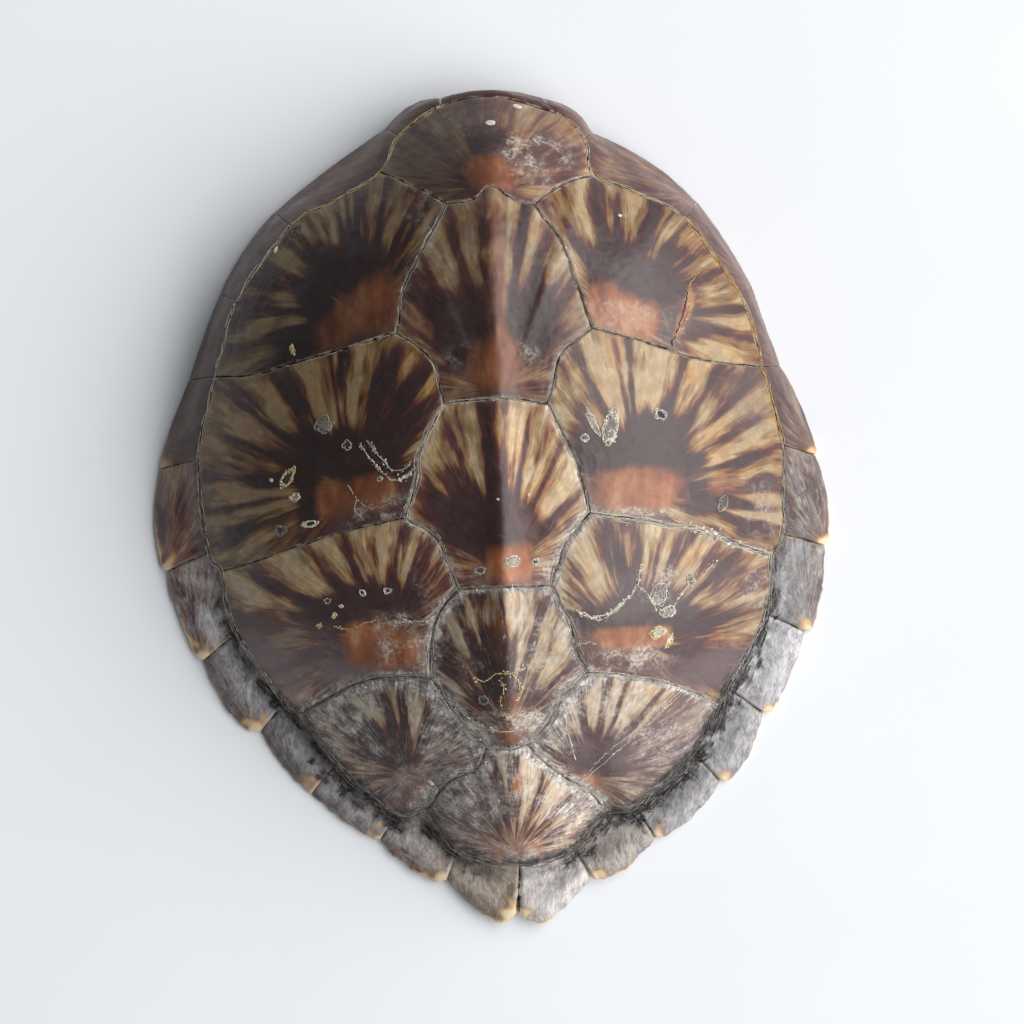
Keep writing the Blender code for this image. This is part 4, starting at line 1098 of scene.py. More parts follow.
COSTALS = {
    "costal_left_1": {
        "fan": (-49.0, 80.0),
        "film": 0.03,
        "tone": (0.4, 0.4),
        "bold": 1.0,
        "dark": (
            (-53, 101, 15, 9, 0, 1.1), (-66, 82, 6, 13, 20, 1.0), (-77, 71, 9, 7, 0, 1.0),
            (-88, 96, 4, 5, 0, 0.5),
        ),
        "orange": ((-52, 82, 20, 7, 42, 1.0), (-40, 80, 9, 6, 60, 0.8)),
        "pale": ((-24, 118, 6, 3, -50, 0.5), (-20, 126, 5, 3, 0, 0.4)),
        "streaks": (
            (83, 3.5, 20, 60, -0.4), (78, 1.8, 25, 70, 0.5), (72, 3, 25, 70, -0.3), (64, 2, 25, 60, 0.5),
            (58, 2.2, 30, 60, 0.5), (55, 2, 40, 70, -0.4), (92, 2, 20, 50, 0.6), (96.5, 1.5, 20, 55, 0.5),
            (102, 1.4, 20, 45, 0.5), (108, 4, 22, 55, -0.4), (118, 2, 20, 50, 0.4), (126, 3, 18, 50, 0.3),
            (141, 5, 22, 50, -0.45), (153, 1.6, 14, 50, 0.5), (158, 4, 36, 60, 0.5), (162, 3.5, 18, 40, -0.5),
            (172, 2, 20, 50, 0.5), (181, 4.5, 20, 55, -0.45), (193, 1.5, 20, 60, 0.4),
            (197, 4, 22, 60, -0.4), (206, 2, 22, 60, 0.4),
        ),
    },
    "costal_left_2": {
        "fan": (-56.0, 11.0),
        "film": 0.03,
        "tone": (0.62, 0.62),
        "bold": 1.0,
        "dark": (
            (-66, 26, 19, 9, 0, 1.1), (-74, 8, 4, 10, 0, 0.9), (-37, 36, 8, 17, -20, 0.7),
            (-46, 22, 9, 7, 0, 0.7),
        ),
        "orange": ((-64, 6, 7, 8, 0, 0.9), (-47, 9, 9, 7, 0, 1.1)),
        "pale": ((-48, -1, 9, 4, 10, 0.9), (-40, 2, 7, 5, 0, 1.0)),
        "streaks": (
            (120, 5, 35, 60, 0.6), (106, 6, 22, 60, -0.45), (97, 1.3, 25, 60, 0.5),
            (92, 1.8, 25, 60, 0.5), (84.5, 3, 22, 60, -0.4), (71, 5, 20, 62, 0.55),
            (63, 2.5, 25, 65, -0.35), (55, 3, 25, 60, 0.5), (50, 2, 35, 60, -0.4), (132, 4, 24, 60, -0.4),
            (141, 1.5, 25, 65, 0.4), (148, 4, 25, 65, -0.4), (156, 1.2, 25, 65, 0.4),
            (164, 4, 28, 65, -0.4), (174, 1.6, 25, 65, 0.5), (181, 2.5, 28, 65, -0.4),
            (187, 1.8, 25, 65, 0.5), (193, 3, 25, 65, -0.35), (200, 2, 25, 60, 0.4),
            (207, 3, 25, 60, -0.3),
        ),
    },
    "costal_left_3": {
        "fan": (-44.0, -52.0),
        "film": 0.12,
        "haze": (
            (-78, -56, 24, 10, -22, 0.65), (-60, -64, 14, 5, 0, 0.6), (-93, -68, 22, 10, -45, 0.85),
            (-35, -56, 10, 9, 0, 0.5),
        ),
        "tone": (1.0, 1.0),
        "bold": 1.0,
        "dark": ((-48, -36, 17, 8, 0, 1.1), (-70, -40, 12, 6, -12, 0.7), (-64, -58, 16, 5, 0, 0.55)),
        "orange": ((-51, -53, 11, 9, 0, 1.0), (-38, -56, 11, 8, 0, 0.75)),
        "pale": (
            (-36, -43, 8, 2, -10, 0.5), (-37, -54, 10, 10, 0, 0.75), (-30, -25, 3, 10, 20, 0.25),
            (-50, -46, 10, 2, 0, 0.4),
        ),
        "streaks": (
            (72, 3, 20, 50, -0.5), (82, 3, 20, 50, 0.45), (90, 3, 18, 50, -0.45), (97, 2, 18, 50, 0.4),
            (104, 3, 18, 50, -0.45), (111, 2, 18, 50, 0.45), (119, 4, 20, 55, -0.45), (129, 2, 20, 60, 0.4),
            (140, 6, 20, 60, -0.4), (152, 3, 20, 60, 0.5), (161, 4, 24, 70, -0.4), (172, 4, 20, 70, 0.3),
            (62, 3, 20, 50, 0.3),
        ),
    },
    "costal_left_4": {
        "fan": (-38.0, -108.0),
        "film": 0.30,
        "dusty": ((-62, -82, 16, 12, 40, 0.08), (-20, -92, 9, 14, -40, 0.08), (-42, -84, 6, 9, -15, -0.06)),
        "tone": (0.84, 0.84),
        "bold": 1.0,
        "dark": ((-46, -96, 12, 9, -20, 0.7), (-60, -88, 10, 6, -20, 0.3)),
        "orange": ((-35, -111, 9, 5, -20, 0.35),),
        "pale": ((-34, -112, 9, 4, -15, 0.6), (-20, -82, 8, 5, -50, 0.35)),
        "streaks": (
            (80, 4, 14, 40, -0.45), (90, 3, 14, 40, 0.4), (98, 2, 16, 40, -0.3), (105, 3, 14, 42, 0.4),
            (117, 5, 16, 46, -0.5), (128, 3, 16, 50, 0.35), (138, 4, 18, 50, -0.25), (66, 4, 14, 40, 0.3),
        ),
    },
    "costal_right_1": {
        "fan": (53.5, 76.0),
        "film": 0.05,
        "haze": ((84, 74, 16, 6, 0, 0.35), (62, 96, 16, 13, 10, 0.15)),
        "tone": (0.92, 0.92),
        "bold": 0.95,
        "dark": (
            (59, 97, 14, 12, 10, 1.1), (72, 84, 8, 12, 25, 0.9), (88, 71, 12, 4, 10, 0.5),
            (55, 77, 13, 7, -12, -0.7), (80, 98, 5, 6, 0, 0.4),
        ),
        "orange": ((57, 77, 15, 8.5, -26, 1.05), (48, 82, 6, 8, 20, 0.5), (82, 77, 12, 2.4, 69, 0.8)),
        "pale": ((58, 74, 14, 7, -12, 0.5), (82.5, 78, 12, 2, 69, 0.5)),
        "streaks": (
            (107, 6, 25, 60, -0.15), (98, 2.6, 20, 60, 0.5), (91, 2, 24, 55, -0.35), (87, 1.4, 24, 50, 0.4),
            (78, 6, 30, 52, -0.55), (68, 3, 28, 52, 0.5), (58, 5, 22, 46, -0.5), (49.5, 3.5, 28, 50, 0.45),
            (40, 2, 26, 48, -0.45), (36, 2, 24, 50, 0.35), (31, 2.5, 34, 52, -0.45), (23, 3, 28, 52, 0.45),
            (11, 6, 34, 58, -0.45), (3, 1.6, 30, 58, 0.4), (-4, 2.4, 32, 58, -0.45), (-11, 4, 28, 58, 0.5),
            (-20, 4, 36, 50, -0.4), (-27, 3, 44, 60, 0.3), (112, 3, 15, 35, 0.3),
        ),
    },
    "costal_right_2": {
        "fan": (60.7, 4.8),
        "film": 0.06,
        "haze": ((108, 42, 9, 14, 20, 0.5), (112, 0, 8, 16, 0, 0.3)),
        "tone": (0.90, 0.90),
        "bold": 1.0,
        "dark": (
            (68, 25, 13, 11, 0, 1.1), (44, 22, 13, 8, 0, 0.9), (90, 0, 14, 5, -8, 0.6),
            (82, 12, 7, 8, 0, 0.5), (112, 8, 6, 5, 0, 0.5), (60, 4, 14, 7, 0, -0.4),
        ),
        "orange": ((60, 6, 16.5, 8.5, 0, 1.3), (95, 7, 7, 5, 8, 0.6)),
        "pale": ((62, -3, 13, 1.6, -4, 0.9), (40, 50, 4, 10, 10, 0.2), (112, -5, 6, 10, 0, 0.5)),
        "streaks": (
            (124, 5, 35, 70, 0.2), (113, 2.6, 28, 70, 0.55), (104, 6, 28, 72, -0.6),
            (98, 1.2, 30, 65, 0.55), (95.5, 1.2, 30, 65, -0.4), (92.5, 1.5, 24, 68, 0.6),
            (83, 7, 32, 68, -0.6), (74.5, 2.6, 28, 44, 0.6), (69, 1.8, 28, 66, 0.45),
            (62.5, 3.5, 32, 66, -0.5), (55, 2.2, 28, 66, 0.45), (48, 3, 32, 64, -0.4),
            (42, 1.4, 36, 62, 0.4), (36, 3.4, 30, 62, -0.4), (30, 3, 40, 60, 0.5),
            (22, 4.5, 28, 60, -0.55), (15.5, 2, 30, 62, 0.45), (8, 3, 42, 52, -0.5),
            (-4, 2, 36, 62, -0.4), (-9, 1.6, 30, 62, 0.4), (-13, 1.7, 36, 62, -0.5),
            (-18, 2, 34, 62, 0.4), (-24, 2, 38, 60, -0.3),
        ),
    },
    "costal_right_3": {
        "fan": (57.3, -58.0),
        "film": 0.1,
        "haze": ((88, -70, 20, 8, 18, 0.85), (64, -36, 22, 9, 0, 0.3), (104, -34, 14, 16, 0, 0.35)),
        "tone": (1.0, 1.0),
        "bold": 1.1,
        "dark": (
            (62, -42, 14, 8, 0, 1.0), (84, -46, 14, 5, 12, 0.8), (40, -46, 9, 4, 0, 0.7),
            (84, -68, 15, 9, -20, 0.5), (50, -26, 6, 8, 0, 0.4), (100, -30, 8, 7, -20, 0.45),
            (86, -24, 5, 5, 0, 0.4),
        ),
        "orange": ((56, -54, 15, 4.5, 0, 1.2), (93, -57, 10, 3.5, 4, 0.45)),
        "pale": ((54, -63, 14, 4.5, 3, 1.0), (68, -32, 8, 7, 0, 0.55), (110, -38, 8, 8, 0, 0.5)),
        "streaks": (
            (118, 8, 22, 60, -0.5), (99, 3.6, 18, 55, 0.5), (90, 2.5, 22, 55, 0.3), (83, 1.8, 28, 50, -0.45),
            (79, 1.6, 28, 50, 0.3), (75, 1.8, 28, 50, 0.35), (70, 2.4, 24, 52, -0.5), (62, 2.4, 26, 50, 0.3),
            (55, 4, 28, 56, -0.35), (46, 3.4, 30, 60, -0.4), (40, 2, 28, 62, 0.4), (31, 5, 30, 62, -0.35),
            (20.5, 2, 24, 60, -0.6), (15, 2.5, 22, 60, 0.45), (4, 3, 26, 55, -0.3), (-16, 9, 16, 55, 0.35),
        ),
    },
    "costal_right_4": {
        "fan": (37.0, -112.0),
        "film": 0.27,
        "dusty": (
            (38, -83, 19, 9, -8, 0.05), (70, -101, 26, 11, 42, 0.03), (26, -94, 7, 11, 30, 0.06),
            (42, -100, 11, 9, 0, -0.09),
        ),
        "haze": ((72, -98, 28, 12, 42, 0.75), (43, -99, 12, 9, -15, 0.55)),
        "tone": (1.10, 1.07),
        "bold": 1.1,
        "dark": ((42, -100, 12, 9, -15, 0.9), (62, -92, 12, 6, -20, 0.2)),
        "orange": ((37, -114, 6, 3.5, 0, 0.7),),
        "pale": ((40, -80, 12, 8, 0, 0.6), (66, -96, 16, 9, -25, 0.55), (24, -92, 5, 8, 30, 0.5)),
        "streaks": (
            (86, 4, 18, 50, -0.55), (78, 2.5, 14, 40, 0.5), (72, 3, 16, 50, -0.5), (66, 2, 18, 50, 0.45),
            (58, 6, 18, 55, -0.55), (49, 1.8, 16, 55, 0.5), (45, 1.5, 18, 55, -0.3), (95, 3, 15, 40, 0.5),
            (103, 4, 12, 40, -0.5), (112, 3, 12, 35, 0.4),
        ),
    },
}


def costal_outline(side, n):
    """The outline of a costal scute. On the right its ring row is walked backwards."""
    start, end = ("C1", "C2", "C3", "C4", "V5")[n - 1:n + 1]
    if side == "left":
        rim = ring_row(start, side, end, side)
    else:
        rim = ring_row(end, side, start, side)[::-1]
    inner = {
        1: (f"-c1_c2_{side}", f"-v2_c1_{side}", f"-v1_c1_{side}"),
        2: (f"-c2_c3_{side}", f"-v3_c2_{side}", f"-v2_c2_{side}", f"c1_c2_{side}"),
        3: (f"-c3_c4_{side}", f"-v4_c3_{side}", f"-v3_c3_{side}", f"c2_c3_{side}"),
        4: (f"-v5_c4_{side}", f"-v4_c4_{side}", f"c3_c4_{side}"),
    }
    return around(rim, *inner[n])


for seed, (name, marks) in enumerate(COSTALS.items(), 5):
    side, n = name.split("_")[1:]
    scute = dome_scute(f"{name}_horn", costal_outline(side, int(n)), marks, seed, mottled_horn)
    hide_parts(name)

# ---------------------------------------------------------------------------------------------
# Rim scutes: the nuchal, eleven marginals a side and the two supracaudals. Each is a fold of
# horn over the bone's rim, that ends in a tooth over the next one. Their edges are thin enough
# to glow amber, and grit has gathered in the channel above the rear ones, darkened further with
# painted shade of the groove.

RIM_STOPS = (
    (0.00, (0.34, 0.235, 0.15)), (0.24, (0.21, 0.110, 0.064)), (0.42, (0.145, 0.055, 0.038)),
    (0.58, (0.098, 0.032, 0.028)), (0.75, (0.068, 0.022, 0.024)), (1.00, (0.034, 0.013, 0.017)),
)
RIM_ENDS = (0.0, 0.15, 0.35, 0.6, 1.0, 1.5, 2.1, 2.8)
RIM_STEP = 1.1
UPPER_CUTS = 9
LIP_CUTS = 4
# For the scutes from the neck to the tail: the dust film, how bright the horn is, and how
# brown the dust is. The brightness is partly the horn's own and partly painted shade on the left
# side and painted light on the right side.
RIM_FILM = {
    "left": (0.1, 0.03, 0.01, 0.01, 0.04, 0.16, 0.31, 0.35, 0.34, 0.34, 0.39, 0.45),
    "right": (0.18, 0.15, 0.14, 0.14, 0.2, 0.30, 0.37, 0.50, 0.46, 0.44, 0.50, 0.62),
}
RIM_TONE_AND_SHADING = {
    "left": (0.65, 0.58, 0.58, 0.58, 0.6, 1.1, 1.1, 0.70, 0.52, 0.64, 0.76, 0.76),
    "right": (1.2, 1.0, 0.98, 0.84, 0.70, 0.62, 0.60, 1.08, 0.85, 0.8, 0.9, 1.32),
}
RIM_EARTHY = {"left": (0.0,) * 9 + (0.1, 0.5, 1.0), "right": (0.0,) * 9 + (0.1, 0.6, 0.35)}
# For the seams: their depth, the amber of the outer edge, the grit with painted shade of the channel.
RIM_SEAM = (0.4, 0.2, 0.15, 0.15, 0.25, 0.5, 0.7, 0.75, 0.7, 0.7, 0.7, 0.8, 1.0)
RIM_BOLD = 0.45
RIM_RAGGED = (0.15, 0.9)
RIM_AMBER = (0.0, 0.0, 0.0, 0.1, 0.25, 0.7, 0.9, 0.9, 0.9, 0.8, 0.8, 0.8, 0.9)
AMBER_WIDTH = {"left": (2.4, 7.0), "right": (1.3, 5.0)}
GRIT_SHADE_WIDTH = {"left": 14.0, "right": 13.5}
GRIT_SHADE_SLOPE = 6.0
POCKETS = {"left": 1.6, "right": 0.5}
# Loose flakes lie where the grit and its painted shade are thicker than this.
BED_GRIT_AND_SHADE = 0.6
BED_SHARE = {"left": 0.6, "right": 1.0}
BANK = 0.12
BANK_PLACE = 13.0
BANK_WIDTH = 5.0
RIM_GRIT_AND_SHADE = (0.0, 0.0, 0.0, 0.0, 0.05, 0.15, 0.35, 0.85, 1.05, 1.1, 1.0, 0.7, 0.3)


def at_places(rows, places, length):
    """Rows of numbers read at places along them."""
    share = np.linspace(0, 1, len(rows))
    flat = rows.reshape(len(rows), -1)
    found = np.stack([np.interp(places / length, share, column) for column in flat.T], axis=1)
    return found.reshape(len(places), *rows.shape[1:])


def rim_stations(rows, seed):
    """The stations along a rim scute, and its ring points, ragged edge and base height at each."""
    inner, edge, base = rows
    inner = np.concatenate([wobble(inner[:, :2]), inner[:, 2:]], axis=1)
    inner[:, :2] += unit(edge - inner[:, :2]) * SEAM_GAP
    walked = walk(inner)
    length = walked[-1]
    even = np.linspace(0, length, len(inner))
    inner, edge, base = (read_row(part, walked, even) for part in (inner, edge, base[:, None]))
    smooth = edge.copy()
    for _ in range(2):
        smooth[1:-1] = (smooth[:-2] + 2 * smooth[1:-1] + smooth[2:]) / 4
    rearward = np.clip((FRONT_Y - smooth[:, 1]) / (FRONT_Y - TAIL_Y), 0, 1)
    ragged = RIM_RAGGED[0] + (RIM_RAGGED[1] - RIM_RAGGED[0]) * rearward
    ragged *= lumps(smooth, 5.0, seed) + 0.7 * lumps(smooth, 1.9, seed)
    smooth += unit(smooth - inner[:, :2]) * ragged[:, None]
    ends = np.array(RIM_ENDS)
    middle = np.arange(ends[-1] + RIM_STEP, length - ends[-1] - RIM_STEP / 2, RIM_STEP)
    places = np.concatenate([ends, middle, length - ends[::-1]])
    places = SEAM_GAP + places * (length - 2 * SEAM_GAP) / length
    inner, edge, base = (at_places(part, places, length) for part in (inner, smooth, base))
    return places, length, inner, edge, base[:, 0]


def straight(start, end, shares):
    return np.stack([start + (end - start) * share for share in shares], axis=1)


def rim_skins(cut):
    """The outer and the inner skin of the fold, as rows from the ring over the edge to the lip."""
    upper = spans([cut["start"], cut["near"], cut["far"], cut["tip"]], UPPER_CUTS)
    lip = straight(cut["foot"], cut["lip_end"], np.linspace(0, 1, LIP_CUTS))
    under_upper = spans([
        cut["start"] - cut["normal"] * HORN, cut["near"] - cut["near_face"] * HORN,
        cut["far"] - cut["far_face"] * HORN, cut["notch"],
    ], UPPER_CUTS)
    under_lip = straight(cut["notch"], cut["lip_top"], np.linspace(0, 1, LIP_CUTS + 1)[1:])
    outer = np.concatenate([upper, lip], axis=1)
    return outer, np.concatenate([under_upper, under_lip], axis=1), upper.shape[1]


channel_bed = []


def rim_scute(name, rows, side, number, seed, material):
    """One fold of horn over the rim, with the fields that its finish reads."""
    places, length, inner, edge, base = rim_stations(rows, seed)
    cut = rim_section(inner, edge, base)
    outer, under, total = rim_skins(cut)
    across = np.gradient(outer, axis=1)
    onward = np.gradient(outer, places, axis=0)
    normal = unit(np.cross(across, onward))
    normal = normal * np.sign((normal[:, 5] * cut["near_face"]).sum(1).mean())
    share = np.concatenate([np.linspace(0, 1, total), np.ones(LIP_CUTS)])[None, :]
    from_front = (places - places[0])[:, None] * np.ones_like(share)
    from_rear = (places[-1] - places)[:, None] * np.ones_like(share)
    from_ring = np.linalg.norm(outer - outer[:, :1], axis=2)
    edge_far = np.linalg.norm(outer - outer[:, total - 1:total], axis=2)
    seam = np.minimum(np.minimum(from_front, from_rear), from_ring)
    plan = outer[..., :2].reshape(-1, 2)
    along = (places / length)[:, None] * np.ones_like(share)

    def ramped(values):
        return values[number] + (values[min(number + 1, 12)] - values[number]) * along

    def lumpy(size, shift=0):
        return lumps(plan, size, seed + shift).reshape(seam.shape)

    rough = lumpy(4.0)
    depth = ramped(RIM_SEAM)
    lift = -0.6 * depth * np.exp(-((seam / 0.6) ** 2)) + 0.25 * (1 - np.exp(-seam / 4))
    lift += 0.45 * depth * np.exp(-((from_rear - 1.3) / 1.4) ** 2) * np.clip(share * 2, 0, 1)
    lift += 0.05 * np.sin(2.8 * from_rear + 4 * rough) + 0.22 * rough
    lift *= (share < 1.0) & (edge_far > 0.2)
    outer = outer + normal * lift[..., None]
    grid = np.concatenate([outer, under[:, ::-1]], axis=1)
    stations, count = grid.shape[:2]
    faces = loft_faces(stations, count)
    half = outer.shape[1]
    for station in (0, stations - 1):
        first = station * count
        faces += [
            [first + k, first + k + 1, first + count - 2 - k, first + count - 1 - k] for k in range(half - 1)
        ]
    piece = closed_mesh(name, grid.reshape(-1, 3), faces, material)
    tip = edge[-int(len(edge) * 0.12) - 1]
    arm = outer[..., :2] - tip
    angle = np.arctan2(arm[..., 1], arm[..., 0])
    reach = np.hypot(arm[..., 0], arm[..., 1])
    ray = np.stack([np.cos(angle) + seed * 3.1, np.sin(angle), reach / FAN_UNIT], axis=-1)
    wide, tooth = AMBER_WIDTH[side]
    amber = np.exp(-((edge_far / (wide * (0.8 + along**2 + 1.8 * rough))) ** 2)) * ramped(RIM_AMBER)
    amber = amber * (0.4 + 0.6 * along) * np.clip(0.75 + 2.4 * lumpy(6.5, 40), 0.1, 1)
    amber = np.maximum(amber, np.exp(-((reach / (tooth * (1 + rough))) ** 2)) * ramped(RIM_AMBER))
    # The tone is partly the horn's own brightness, partly painted shade on the left and painted light on the
    # right; amber edges are brought back towards full brightness.
    film, tone = RIM_FILM[side][number], RIM_TONE_AND_SHADING[side][number]
    # Grit in the channel, with painted shade of the groove over it.
    grit_and_shade_here = ramped(RIM_GRIT_AND_SHADE)
    width = GRIT_SHADE_WIDTH[side] * (1 + 0.35 * rough)
    pocket = 1 + POCKETS[side] * (lumpy(6.0, 33) - 0.1)
    grit_and_shade = grit_and_shade_here * np.clip((width - from_ring) / GRIT_SHADE_SLOPE, 0, 1) * np.clip(pocket, 0.25, 1.1)
    bed = (share < 1.0) & (grit_and_shade > BED_GRIT_AND_SHADE) & (seam > 0.1)
    heading = np.arctan2(onward[..., 1], onward[..., 0])
    channel_bed.append((outer[bed], normal[bed], grit_and_shade[bed] * BED_SHARE[side], heading[bed]))
    bank = np.exp(-(((from_ring - BANK_PLACE) / BANK_WIDTH) ** 2))
    fields = {
        "Ray": ray, "Dark": 0.3 * np.exp(-from_ring / 5) - 0.1 * along, "Orange": 0 * along,
        "Pale": np.full_like(along, 0.25 * film), "Film": film + BANK * bank * grit_and_shade_here,
        "Edge": np.minimum(from_ring, seam + 0.8 * (1 - depth)),
        "Tone": tone + np.maximum(0, 1 - tone) * np.clip(amber, 0, 1),
        "Bold": np.full_like(along, RIM_BOLD), "Amber": amber, "Grit": grit_and_shade, "Haze": 0 * along,
        "Earthy": np.full_like(along, RIM_EARTHY[side][number]),
    }
    for field, values in fields.items():
        pad = np.repeat(values[:, -1:], count - half, axis=1)
        whole = np.concatenate([values, pad], axis=1)
        set_field(piece, field, whole.reshape(-1, 3) if field == "Ray" else whole.reshape(-1))
    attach(piece, "root")
    return piece


rim_horn = horn_finish("rim_horn", RIM_STOPS, 0.45, 0.32, DUST_ON_RIM, combed=False)
for seed, (name, rows) in enumerate(rims.items(), 20):
    side = "right" if "right" in name else "left"
    number = 0 if name == "nuchal" else 11 if "supra" in name else int(name.rsplit("_", 1)[1]) - 1
    scute = rim_scute(f"{name}_horn", rows, side, number, seed, rim_horn)
    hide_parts(name)

# ---------------------------------------------------------------------------------------------
# Threads of the seams. Where two scutes meet, the horn has frayed into pale fibres that lie in
# and beside the groove: golden in front on the left, grey-white and thick at the rear.

# Fibres in millimetres: the step along one, its thickness, its lift and how far it is shaken.
FIBRE_STEP = 0.7
FIBRE_THICK = 0.10
FIBRE_LIFT = 0.05
FIBRE_SHAKE = 0.7
GAP_SCALE = 240.0
SHAKE_SCALE = 1300.0
SWELL_SCALE = 900.0

CRUST_STOPS = (
    (0.00, (0.012, 0.010, 0.010)), (0.25, (0.080, 0.064, 0.058)), (0.45, (0.23, 0.20, 0.18)),
    (0.60, (0.44, 0.39, 0.32)), (0.71, (0.72, 0.68, 0.60)), (0.83, (0.55, 0.42, 0.17)),
    (1.00, (0.42, 0.20, 0.055)),
)


def crust_finish():
    """Dry crust, frayed fibre and dirt: a colour by kind, broken up by fine grain."""
    material, tree, shader, place = new_finish("seam_crust")
    kind = put(tree, "ShaderNodeAttribute", attribute_name="Kind").outputs["Fac"]
    speck = grain(tree, place, EVEN, 700.0, detail=4.0, roughness=0.7)
    blotch = grain(tree, place, EVEN, 160.0, detail=2.0, shift=3.0)
    kind = sums(tree, "MULTIPLY_ADD", sums(tree, "ADD", speck, blotch), 0.4, sums(tree, "ADD", kind, -0.4))
    wire(tree, shader.inputs, {
        "Base Color": colours(tree, kind, CRUST_STOPS),
        "Roughness": between(tree, speck, 0.3, 0.7, 0.65, 0.9), "Normal": bumps(tree, speck, 0.6, 0.0002),
    })
    return material


def new_growth(name, inputs):
    """A node tree from one mesh to another, with a material and named numbers."""
    tree = bpy.data.node_groups.new(name, "GeometryNodeTree")
    tree.interface.new_socket("Geometry", in_out="OUTPUT", socket_type="NodeSocketGeometry")
    tree.interface.new_socket("Geometry", in_out="INPUT", socket_type="NodeSocketGeometry")
    tree.interface.new_socket("Material", in_out="INPUT", socket_type="NodeSocketMaterial")
    for label in inputs:
        tree.interface.new_socket(label, in_out="INPUT", socket_type="NodeSocketFloat")
    return tree, put(tree, "NodeGroupInput").outputs


def end_growth(tree, geometry, material):
    real = put(tree, "GeometryNodeRealizeInstances", {"Geometry": geometry})
    dressed = put(tree, "GeometryNodeSetMaterial", {"Geometry": real.outputs[0], "Material": material})
    put(tree, "NodeGroupOutput", {"Geometry": dressed.outputs[0]})


def read(tree, name, kind="FLOAT"):
    return put(tree, "GeometryNodeInputNamedAttribute", {"Name": name}, data_type=kind).outputs["Attribute"]


def noise_here(tree, seed, scale, detail):
    """Noise over the place in metres; another seed gives another pattern."""
    here = put(tree, "GeometryNodeInputPosition").outputs[0]
    values = {"Vector": here, "W": seed, "Scale": scale, "Detail": detail}
    return put(tree, "ShaderNodeTexNoise", values, noise_dimensions="4D").outputs


def shaken(tree, geometry, seed, scale, amount):
    """Moves each point a little, by noise over its place."""
    colour = noise_here(tree, seed, scale, 2.0)["Color"]
    centred = put(tree, "ShaderNodeVectorMath", {0: colour, 1: (0.5, 0.5, 0.5)}, operation="SUBTRACT")
    push = put(tree, "ShaderNodeVectorMath", {0: centred.outputs[0], 3: amount}, operation="SCALE")
    moved = put(tree, "GeometryNodeSetPosition", {"Geometry": geometry, "Offset": push.outputs[0]})
    return moved.outputs[0]


def strand_tree():
    """Lines, with random gaps, become thin tubes of uneven thickness."""
    tree, given = new_growth("strands", ("Gap scale", "Thickness", "Shake", "Seed"))
    loose = shaken(tree, given["Geometry"], given["Seed"], SHAKE_SCALE, given["Shake"])
    own = sums(tree, "MULTIPLY_ADD", read(tree, "Thick"), 9.0, given["Seed"])
    gap = noise_here(tree, own, given["Gap scale"], 2.0)["Fac"]
    bare = put(tree, "FunctionNodeCompare", {0: gap, 1: read(tree, "Bare")}, operation="LESS_THAN").outputs[0]
    kept = put(tree, "GeometryNodeDeleteGeometry", {"Geometry": loose, "Selection": bare}, domain="EDGE")
    line = put(tree, "GeometryNodeMeshToCurve", {"Mesh": kept.outputs[0]}).outputs[0]
    swell = noise_here(tree, given["Seed"], SWELL_SCALE, 1.0)["Fac"]
    radius = sums(tree, "MULTIPLY", between(tree, swell, 0.3, 0.7, 0.35, 1.8), read(tree, "Thick"))
    sized = put(tree, "GeometryNodeSetCurveRadius", {"Curve": line, "Radius": radius}).outputs[0]
    ring = put(tree, "GeometryNodeCurvePrimitiveCircle", {"Resolution": 4, "Radius": given["Thickness"]})
    tube = put(tree, "GeometryNodeCurveToMesh", {
        "Curve": sized, "Profile Curve": ring.outputs[0], "Fill Caps": True,
    })
    end_growth(tree, tube.outputs[0], given["Material"])
    return tree


def start_mesh(name, lines):
    """Edges along lines of (points, thickness, kind, bareness), each number one for all or one each."""
    points, edges = [], []
    fields = {"Thick": [], "Kind": [], "Bare": []}
    for places, *values in lines:
        first = len(points)
        points += (places * MM).tolist()
        edges += [(first + k, first + k + 1) for k in range(len(places) - 1)]
        for label, value in zip(fields, values):
            fields[label].append(np.broadcast_to(value, len(places)))
    mesh = bpy.data.meshes.new(name)
    mesh.from_pydata(points, edges, [])
    holder = in_scene(name, mesh)
    for label, values in fields.items():
        set_field(holder, label, np.concatenate(values))
    return holder


def grown(name, holder, tree, material, values):
    """The plain mesh that a node tree makes from the start piece, as a finished piece."""
    modifier = holder.modifiers.new("growth", "NODES")
    modifier.node_group = tree
    sockets = {item.name: item.identifier for item in tree.interface.items_tree if item.in_out == "INPUT"}
    for label, value in {"Material": material, **values}.items():
        modifier[sockets[label]] = value
    bpy.context.view_layer.update()
    done = holder.evaluated_get(bpy.context.evaluated_depsgraph_get())
    mesh = bpy.data.meshes.new_from_object(done)
    holder.modifiers.remove(modifier)
    bpy.data.objects.remove(holder)
    mesh.name = name
    piece = in_scene(name, mesh)
    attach(piece, "root")
    return piece


horn_places = np.concatenate([plan for plan, _ in horn_lifts])
horn_heights = np.concatenate([lift for _, lift in horn_lifts])
horn_index = kdtree.KDTree(len(horn_places))
for k, (x, y) in enumerate(horn_places):
    horn_index.insert((x, y, 0.0), k)
horn_index.balance()


def on_horn(place, above=0.0):
    """Points that lie the given height above the horn of the dome, and their normals."""
    point, normal = dome_point(place)
    lift = np.array([horn_heights[horn_index.find((x, y, 0.0))[1]] for x, y in place])
    return point + normal * (lift + above)[:, None], normal


